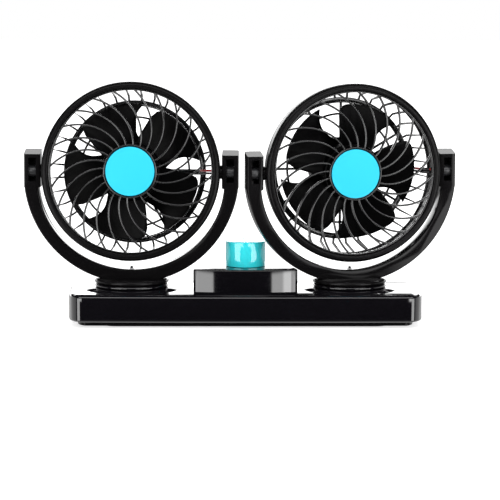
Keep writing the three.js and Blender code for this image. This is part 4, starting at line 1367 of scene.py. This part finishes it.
    def front_guard(self) -> None:
        """The front guard: its spiral ribs, its rim and the collar that holds the cap."""
        first, last, steps = self.guard_hub - self.rib_root, self.mouth - self.rim_width, 12
        route = []
        for i in range(steps + 1):
            radius = first + (last - first) * i / steps
            angle = self.rib_angle(radius)
            route.append(Vector((radius * math.cos(angle), radius * math.sin(angle), self.dome(radius))))
        edge = self.rib_width / 2 - self.rib_flat
        rib = sweep("rib", route, edge, self.guard_thickness / 2 - edge, 3)
        ribs = repeated(rib, self.rib_count)
        outer, seat = self.mouth - SEAT_GAP, self.ledge_front + SEAT_GAP
        radii = (outer - self.rim_width - self.rim_overlap, outer)
        rim = ring("rim", radii, (seat, seat + self.guard_thickness), RING_STEPS)
        hub_front = seat + self.guard_thickness + self.guard_dome
        disc = turned("disc", [
            (0, hub_front - self.guard_thickness), (self.guard_hub, hub_front - self.guard_thickness),
            (self.guard_hub, hub_front + self.collar_height),
            (self.guard_hub - self.collar_wall, hub_front + self.collar_height),
            (self.guard_hub - self.collar_wall, hub_front), (0, hub_front),
        ])
        softened(rim, self.rim_edge)
        guard = joined(self.named("guard_ribs"), [ribs, rim, softened(disc, self.ring_edge)])
        settled(guard, self.place(), self.body(), GUARD_BLACK, (self.named("front_guard"),))

    def cap(self) -> None:
        """The blue cap in the middle of the guard, with a fine step round its edge."""
        low = self.ledge_front + SEAT_GAP + self.guard_thickness + self.guard_dome + SEAT_GAP
        high, r, rise, steps = low + self.cap_thickness, self.cap_radius, self.cap_crown, 8
        face = r - self.cap_step
        crown = []
        for i in range(1, steps + 1):
            crown.append((face - face * i / steps, high + rise * math.sin(TURN / 4 * i / steps)))
        profile = [(0, low), (r, low), (r, high - rise), (r - rise, high), (face, high), *crown]
        disc = softened(turned(self.named("blue_cap"), profile), self.cap_edge, 2, angle=35)
        settled(disc, self.place(), self.body(), CAP_BLUE, (self.named("guard_cap"),))

    def cage(self) -> None:
        """The rear cage: its rim, its ribs with an elbow and a thinner outer stretch, and their foot ring."""
        floor_rear = self.cage_floor - self.cage_floor_thickness
        rim_outer = self.bezel_radius - self.rear_taper
        rim_front = self.bezel_rear - SEAT_GAP
        rim_rear = rim_front - self.cage_rim_thickness
        foot = self.cage_radius - self.cage_setback
        head, rim_mid = rim_outer - self.cage_setback, (rim_front + rim_rear) / 2
        front, rear, elbow = self.cage_floor - JOIN_OVERLAP, floor_rear + JOIN_OVERLAP, self.cage_elbow
        bar = [
            (foot, rear), (elbow, rear), (head, rim_mid), (head - self.cage_rib_depth, rim_mid),
            (elbow - self.cage_rib_depth / 2, front), (foot, front),
        ]
        rib = plate("cage_rib", bar, -self.cage_rib_width / 2, self.cage_rib_width / 2)
        for vertex in rib.data.vertices:
            if vertex.co.y > front + WELD:
                vertex.co.z *= self.cage_taper
        moved(softened(rib, self.cage_rib_edge, 2, angle=50), Matrix.Rotation(TURN / 4, 4, "X"))
        moved(rib, Matrix.Rotation(TURN / (2 * self.cage_ribs), 4, "Z"))
        foot_radii = (self.cage_radius - self.cage_foot, self.cage_radius)
        rim_radii = (rim_outer - self.cage_rim_width, rim_outer)
        foot_ring = ring("foot_ring", foot_radii, (floor_rear, self.cage_floor))
        rim = ring("cage_rim", rim_radii, (rim_rear, rim_front), RING_STEPS)
        ribs = repeated(rib, self.cage_ribs)
        rings = [softened(part, self.ring_edge) for part in (foot_ring, rim)]
        cage = joined(self.named("cage"), [ribs, *rings])
        settled(cage, self.place(), self.body(), GUARD_BLACK, (self.named("rear_guard"),))

    def motor_frame(self) -> None:
        """The frame that clips into the cage: three floor rings, their spokes and the motor tube."""
        floor_rear = self.cage_floor - self.cage_floor_thickness
        half = self.frame_mid_half
        parts = []
        for radii in (
            (self.frame_radius - self.frame_ring, self.frame_radius),
            (self.frame_mid - half, self.frame_mid + half),
            (self.tube_inner, self.cage_hub),
        ):
            parts.append(softened(ring("floor_ring", radii, (floor_rear, self.cage_floor)), self.ring_edge))
        lip_rear = self.tube_front - self.tube_lip_thickness
        parts.append(turned("motor_tube", [
            (self.tube_inner, floor_rear), (self.tube_outer, floor_rear), (self.tube_outer, self.tube_front),
            (self.tube_lip, self.tube_front), (self.tube_lip, lip_rear), (self.tube_inner, lip_rear),
            (self.tube_inner, floor_rear),
        ], TUBE_STEPS))
        spoke = box(
            "spoke", (self.cage_hub - self.spoke_root, -self.spoke / 2, floor_rear + JOIN_OVERLAP),
            (self.frame_radius - self.frame_ring / 2, self.spoke / 2, self.cage_floor - JOIN_OVERLAP),
        )
        parts.append(repeated(softened(spoke, self.spoke_edge, 2), self.cage_spokes))
        frame_piece = joined(self.named("spider"), parts)
        settled(frame_piece, self.place(), self.body(), GUARD_BLACK, (self.named("motor_frame"),))

    def motor_cover(self) -> None:
        """The domed cover over the motor's rear, with its ring of vents."""
        front = self.cage_floor - self.cage_floor_thickness - SEAT_GAP
        rear, outer, wall, e = front - self.cover_depth, self.cage_hub, self.cover_wall, self.cover_edge
        rim = arc((outer - e, rear + e), (e, e), 270, 360, 8)
        inner, floor = outer - wall, rear + wall
        profile = [(0, rear), *rim, (outer, front), (inner, front), (inner, floor), (0, floor)]
        cap = softened(turned(self.named("motor_cap"), profile), self.cover_rim_edge, 2, angle=50)
        vents = []
        for index in range(self.vent_count):
            angle = TURN * index / self.vent_count
            x, y = self.vent_circle * math.cos(angle), self.vent_circle * math.sin(angle)
            bpy.ops.mesh.primitive_cylinder_add(
                vertices=24, radius=self.vent_radius, depth=4 * wall, location=(x, y, rear + wall / 2)
            )
            vent = added("vent")
            bpy.ops.object.transform_apply(location=True, rotation=True, scale=True)
            vents.append(vent)
        carved(cap, *vents)
        settled(cap, self.place(), self.body(), SATIN_BLACK, (self.named("motor_cover"),))

    def leads(self) -> None:
        """The red and the black motor lead, from the motor into the trunnion, and the sleeve over them."""
        start, floor = self.lead_start + self.lead_radius, self.cage_floor + self.lead_lift
        wall = self.cage_radius * self.lead_turn_share
        bend, level = self.lead_bend, self.cage_floor
        route = [
            (start, level - self.lead_tail), (start, level),
            (start + bend / 2, floor), (start + 2 * bend, floor),
            (wall, floor), (wall + bend, level / 2), (self.rear_bore - bend, -bend / 2), (self.rear_bore, 0),
            (self.shoulder_root + bend, 0), (self.journal_end - bend, 0),
        ]
        for sign, word, finish in ((1, "red", RED_PVC), (-1, "black", BLACK_PVC)):
            y = sign * self.lead_spacing / 2
            path = [Vector((x, y, z)) for x, z in route]
            lead = sweep(self.named(f"{word}_wire"), path, self.lead_radius, steps=5)
            settled(lead, self.place(), self.body(), finish, (self.named(f"{word}_lead"),))
        tubes = []
        for y in (self.lead_spacing / 2, -self.lead_spacing / 2):
            path = [Vector((x, y, z)) for x, z in self.sleeve]
            tubes.append(sweep(self.named("lead_sleeve"), path, self.lead_radius + self.sleeve_wall, steps=5))
        sleeve = joined(self.named("lead_sleeve"), tubes)
        settled(sleeve, self.place(), self.body(), BLACK_PVC, (self.named("black_lead"),))


@dataclass
class Impeller:
    """One impeller: a hub with five wide twisted blades, on its motor shaft."""

    side: Side
    turn: float
    blades: int = 5
    radius: float = 45.7
    thickness: float = 1.5
    blade_edge: float = 0.35
    gap_tip: float = 12.0
    overlap_root: float = 8.0
    gap_closes: float = 0.37
    root_rise: float = 7.4
    tip_rise: float = 6.5
    middle: float = -1.6
    tip_setback: float = 3.4
    hollow: float = 12.0
    hollow_power: float = 0.8
    corner_share: float = 0.16
    corner_drop: float = 6.5
    hub: float = 20.0
    hub_wall: float = 1.6
    hub_front: float = 7.5
    hub_rear: float = -9.6
    hub_edge: float = 2.0
    hub_rim_edge: float = 0.25
    shaft_bore: float = 1.45
    boss: float = 3.6
    boss_rear: float = -5.0
    boss_cap: float = 3.0

    def build(self) -> None:
        """Builds and dresses the impeller and its shaft."""
        wheel = repeated(self.blade(), self.blades)
        e, inner = self.hub_edge, self.hub - self.hub_wall
        ceiling, bore_end = self.hub_front - self.hub_wall, self.hub_front - self.boss_cap
        rim = arc((self.hub - e, self.hub_front - e), (e, e), 0, 90, 6)
        hub = turned("hub", [
            (0, self.hub_front), *reversed(rim), (self.hub, self.hub_rear), (inner, self.hub_rear),
            (inner, ceiling), (self.boss, ceiling), (self.boss, self.boss_rear),
            (self.shaft_bore, self.boss_rear), (self.shaft_bore, bore_end), (0, bore_end),
        ])
        softened(hub, self.hub_rim_edge, 2, angle=50)
        whole = joined(f"{self.side.value}_wheel", [wheel, hub])
        place = Places(self.side).head() @ Matrix.Rotation(math.radians(self.turn), 4, "Z")
        settled(whole, place, f"{self.side.value}_rotor", BLADE_BLACK, (f"{self.side.value}_impeller",))
        dressed(f"{self.side.value}_motor_shaft", ZINC)

    def blade(self) -> Piece:
        """One blade: a twisted sheet with a sharp trailing corner and a rounded leading one.

        Returns:
            The blade.
        """
        bpy.ops.mesh.primitive_grid_add(x_subdivisions=24, y_subdivisions=16, size=1)
        sheet = added("blade")
        pitch = TURN / self.blades
        root = self.hub - self.hub_wall / 2
        for vertex in sheet.data.vertices:
            u, v = vertex.co.x + 0.5, vertex.co.y + 0.5
            opening = (v - self.gap_closes) / (1 - self.gap_closes)
            trim = math.radians(self.gap_tip / 2 * opening if opening > 0 else self.overlap_root * opening)
            rounded = max(0.0, (u - 1 + self.corner_share) / self.corner_share)
            tip = self.radius - self.corner_drop * (1 - math.sqrt(max(0.0, 1 - rounded * rounded)))
            radius = root + (tip - root) * v
            hollow = math.radians(self.hollow) * math.sin(math.pi * v ** self.hollow_power)
            angle = trim + hollow + (pitch - 2 * trim - hollow) * u
            rise = self.root_rise + (self.tip_rise - self.root_rise) * v
            height = self.middle - self.tip_setback * v - rise * (1 - 2 * u)
            vertex.co = (radius * math.cos(angle), radius * math.sin(angle), height)
        modified(sheet, "SOLIDIFY", thickness=self.thickness, offset=0)
        weld(sheet)
        return softened(sheet, self.blade_edge, 2, angle=60)


@dataclass
class Studio:
    """The floor, the soft lamps, the white surroundings and the camera.

    Gloss mirrors a studio of bright bands. An angle is in degrees round the fan from the camera's side, the
    same to the left and to the right. A height is the upward part of a direction of length 1. A glow is a
    brightness where 1 is white. A soft width is the stretch over which a band fades. Where it is a pair, the
    first is that of the angle and the second that of the height.
    """

    aim: tuple[float, float, float] = (0.0033, 0.0, 0.0483)
    distance: float = 1.8
    azimuth: float = -1.5
    elevation: float = 7.2
    roll: float = 0.25
    lens: float = 192.0
    floor_size: float = 8.0
    floor_level: float = -0.0003
    floor_fade: Pair = (0.22, 0.5)
    floor_glow: float = 0.7
    card_glow: float = 7.5
    panel_angles: Pair = (13.2, 34.0)
    panel_heights: Pair = (-0.05, 0.2)
    panel_soft: Pair = (0.8, 0.04)
    corner_angles: Pair = (30.0, 68.0)
    corner_heights: Pair = (-0.5, 0.2)
    corner_soft: Pair = (4.0, 0.1)
    strip_angle: float = 20.5
    strip_fade: Pair = (2.2, 0.8)
    strip_glow: float = 6.0
    rail_angle: float = 60.0
    rail_heights: Pair = (0.5, 0.76)
    rail_soft: Pair = (10.0, 0.02)
    rail_glow: float = 6.0
    side_angles: Pair = (74.0, 156.0)
    side_soft: float = 12.0
    side_fade: Pair = (0.3, 0.2)
    side_glow: float = 1.3
    back_angles: Pair = (128.0, 158.0)
    back_heights: Pair = (0.0, 0.26)
    back_soft: float = 0.05
    back_glow: float = 4.5
    eave_heights: Pair = (0.46, 0.64)
    upper_heights: Pair = (0.66, 0.84)
    upper_glow: float = 1.4
    lower_height: float = 0.02
    lower_soft: float = 0.06
    lower_glow: float = 0.6
    ground_heights: Pair = (-0.3, -0.6)
    ground_glow: float = 1.0
    ambient: float = 0.45

    def build(self) -> None:
        """Sets up everything round the fan."""
        self.floor()
        self.surroundings()
        self.lamps()
        self.camera()
        bpy.context.scene.view_settings.view_transform = "Standard"

    def camera(self) -> None:
        """The camera at the photograph's angle and distance."""
        a, e = math.radians(self.azimuth), math.radians(self.elevation)
        back = Vector((math.sin(a) * math.cos(e), -math.cos(a) * math.cos(e), math.sin(e)))
        data = bpy.data.cameras.new("photo_camera")
        data.lens = self.lens
        data.clip_end = 50
        camera = bpy.data.objects.new("photo_camera", data)
        bpy.context.scene.collection.objects.link(camera)
        camera.location = Vector(self.aim) + back * self.distance
        look = (-back).to_track_quat("-Z", "Y").to_matrix().to_4x4()
        camera.rotation_euler = (look @ Matrix.Rotation(math.radians(self.roll), 4, "Z")).to_euler()
        bpy.context.scene.camera = camera

    def floor(self) -> None:
        """The pale floor, which keeps the fan's shadow."""
        bpy.ops.mesh.primitive_plane_add(size=self.floor_size, location=(0, 0, self.floor_level))
        floor = added("floor")
        floor.visible_glossy = False
        made = bpy.data.materials.new("pale_floor")
        made.use_nodes = True
        tree = made.node_tree
        shader = tree.nodes["Principled BSDF"]
        shader.inputs["Base Color"].default_value = (0.8, 0.8, 0.8, 1)
        shader.inputs["Roughness"].default_value = 0.9
        shader.inputs["Specular IOR Level"].default_value = 0.0
        shader.inputs["Emission Color"].default_value = (1, 1, 1, 1)
        rays = node(tree, "ShaderNodeLightPath")
        place = node(tree, "ShaderNodeTexCoord")
        reach = node(tree, "ShaderNodeVectorMath", operation="LENGTH")
        tree.links.new(place.outputs["Object"], reach.inputs[0])
        far = ramp(tree, reach.outputs["Value"], *self.floor_fade)
        glow = total(tree, product(tree, far, 1.0 - self.floor_glow), self.floor_glow)
        shown = product(tree, rays.outputs["Is Camera Ray"], glow)
        tree.links.new(shown, shader.inputs["Emission Strength"])
        floor.data.materials.append(made)

    def surroundings(self) -> None:
        """A white room for the camera, a studio's bright bands for gloss, and a plain grey for the rest."""
        world = bpy.data.worlds.new("white_room")
        bpy.context.scene.world = world
        world.use_nodes = True
        tree = world.node_tree
        tree.nodes.clear()
        rays = node(tree, "ShaderNodeLightPath")
        seen = maths(tree, "MAXIMUM", rays.outputs["Is Glossy Ray"], rays.outputs["Is Transmission Ray"])
        pick = node(tree, "ShaderNodeMix", data_type="FLOAT")
        strength = node(tree, "ShaderNodeMix", data_type="FLOAT")
        tree.links.new(seen, pick.inputs["Factor"])
        pick.inputs["A"].default_value = self.ambient
        tree.links.new(self.gloss(tree), pick.inputs["B"])
        tree.links.new(rays.outputs["Is Camera Ray"], strength.inputs["Factor"])
        tree.links.new(pick.outputs["Result"], strength.inputs["A"])
        strength.inputs["B"].default_value = 1.0
        light = node(tree, "ShaderNodeBackground", Color=(1, 1, 1, 1))
        tree.links.new(strength.outputs["Result"], light.inputs["Strength"])
        out = node(tree, "ShaderNodeOutputWorld")
        tree.links.new(light.outputs[0], out.inputs["Surface"])

    def gloss(self, tree: Tree) -> Socket:
        """The brightness that gloss mirrors: cards in front, plain sides, and a banded backdrop behind.

        Args:
            tree: the world's node tree.

        Returns:
            The socket of the brightness.
        """
        place = node(tree, "ShaderNodeTexCoord")
        axes = node(tree, "ShaderNodeSeparateXYZ")
        tree.links.new(place.outputs["Generated"], axes.inputs[0])
        x, y, z = axes.outputs["X"], axes.outputs["Y"], axes.outputs["Z"]
        length = maths(tree, "SQRT", total(tree, product(tree, x, x), product(tree, y, y)))
        facing = maths(tree, "DIVIDE", product(tree, y, -1.0), maths(tree, "MAXIMUM", length, 0.001))
        angle = product(tree, maths(tree, "ARCCOSINE", facing), 360 / TURN)
        front = self.front_cards(tree, x, z, angle)
        wide = band(tree, angle, self.side_angles, self.side_soft)
        side = product(tree, wide, ramp(tree, z, *self.side_fade))
        ground = product(tree, ramp(tree, z, *self.ground_heights), self.ground_glow)
        return total(tree, self.backdrop(tree, z, angle), ground, *front, product(tree, side, self.side_glow))

    def front_cards(self, tree: Tree, x: Socket, z: Socket, angle: Socket) -> list[Socket]:
        """The cards on the camera's side: the panel with its strip, the wider corner card and the rail above.

        Args:
            tree: the world's node tree.
            x: the direction's part to the viewer's right.
            z: its upward part.
            angle: its angle from the camera's side.

        Returns:
            The sockets of their brightness.
        """
        off_strip = maths(tree, "ABSOLUTE", maths(tree, "SUBTRACT", angle, self.strip_angle))
        strip = product(tree, ramp(tree, off_strip, *self.strip_fade), maths(tree, "GREATER_THAN", x, 0.0))
        panel_glow = total(tree, self.card_glow, product(tree, strip, self.strip_glow))
        across, upright = self.panel_soft
        wide = band(tree, angle, self.panel_angles, across)
        panel = product(tree, wide, band(tree, z, self.panel_heights, upright))
        across, upright = self.corner_soft
        wide = band(tree, angle, self.corner_angles, across)
        corner = product(tree, wide, band(tree, z, self.corner_heights, upright))
        across, upright = self.rail_soft
        wide = ramp(tree, angle, self.rail_angle, self.rail_angle - across)
        rail = product(tree, wide, band(tree, z, self.rail_heights, upright))
        shares = ((panel, panel_glow), (corner, self.card_glow), (rail, self.rail_glow))
        return [product(tree, share, glow) for share, glow in shares]

    def backdrop(self, tree: Tree, z: Socket, angle: Socket) -> Socket:
        """The backdrop behind the fan: a bright band low down, an eave, a paler band above it and a dim foot.

        Args:
            tree: the world's node tree.
            z: the direction's upward part.
            angle: its angle from the camera's side.

        Returns:
            The socket of its brightness.
        """
        soft, lower = self.back_soft, self.lower_height
        behind = ramp(tree, angle, *self.back_angles)
        bright = total(tree, band(tree, z, self.back_heights, soft), band(tree, z, self.eave_heights, soft))
        upper = product(tree, band(tree, z, self.upper_heights, soft), self.upper_glow)
        foot = product(tree, ramp(tree, z, lower, lower - self.lower_soft), self.lower_glow)
        return product(tree, behind, total(tree, upper, foot, product(tree, bright, self.back_glow)))

    def lamps(self) -> None:
        """Soft lamps that gloss doesn't mirror: over the camera, at either side, overhead and behind."""
        for name, place, size, power in (
            ("front_lamp", (0.0, -1.9, 0.95), (1.2, 0.8), 7.5),
            ("left_lamp", (-1.25, -1.2, 0.75), (1.1, 1.1), 7.5),
            ("right_lamp", (1.25, -1.2, 0.75), (1.1, 1.1), 7.5),
            ("top_lamp", (0.0, -0.25, 1.7), (1.6, 1.2), 14.0),
            ("back_lamp", (0.0, 1.9, 0.42), (2.6, 0.7), 9.0),
        ):
            data = bpy.data.lights.new(name, "AREA")
            data.shape = "RECTANGLE"
            data.size, data.size_y = size
            data.energy = power
            lamp = bpy.data.objects.new(name, data)
            bpy.context.scene.collection.objects.link(lamp)
            lamp.location = place
            lamp.rotation_euler = (Vector(self.aim) - Vector(place)).to_track_quat("-Z", "Y").to_euler()
            lamp.visible_camera = False
            lamp.visible_glossy = False


def main() -> None:
    """Builds the fan and the studio."""
    logging.basicConfig(level=logging.INFO, format="%(name)s: %(message)s")
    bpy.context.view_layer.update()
    grain_group()
    handling_group()
    Studio().build()
    Base().build()
    Console().build()
    for side in Side:
        Yoke(side).build()
        Head(side, SLEEVE_ROUTES[side]).build()
        Impeller(side, BLADE_TURNS[side]).build()


if __name__ == "__main__":
    main()
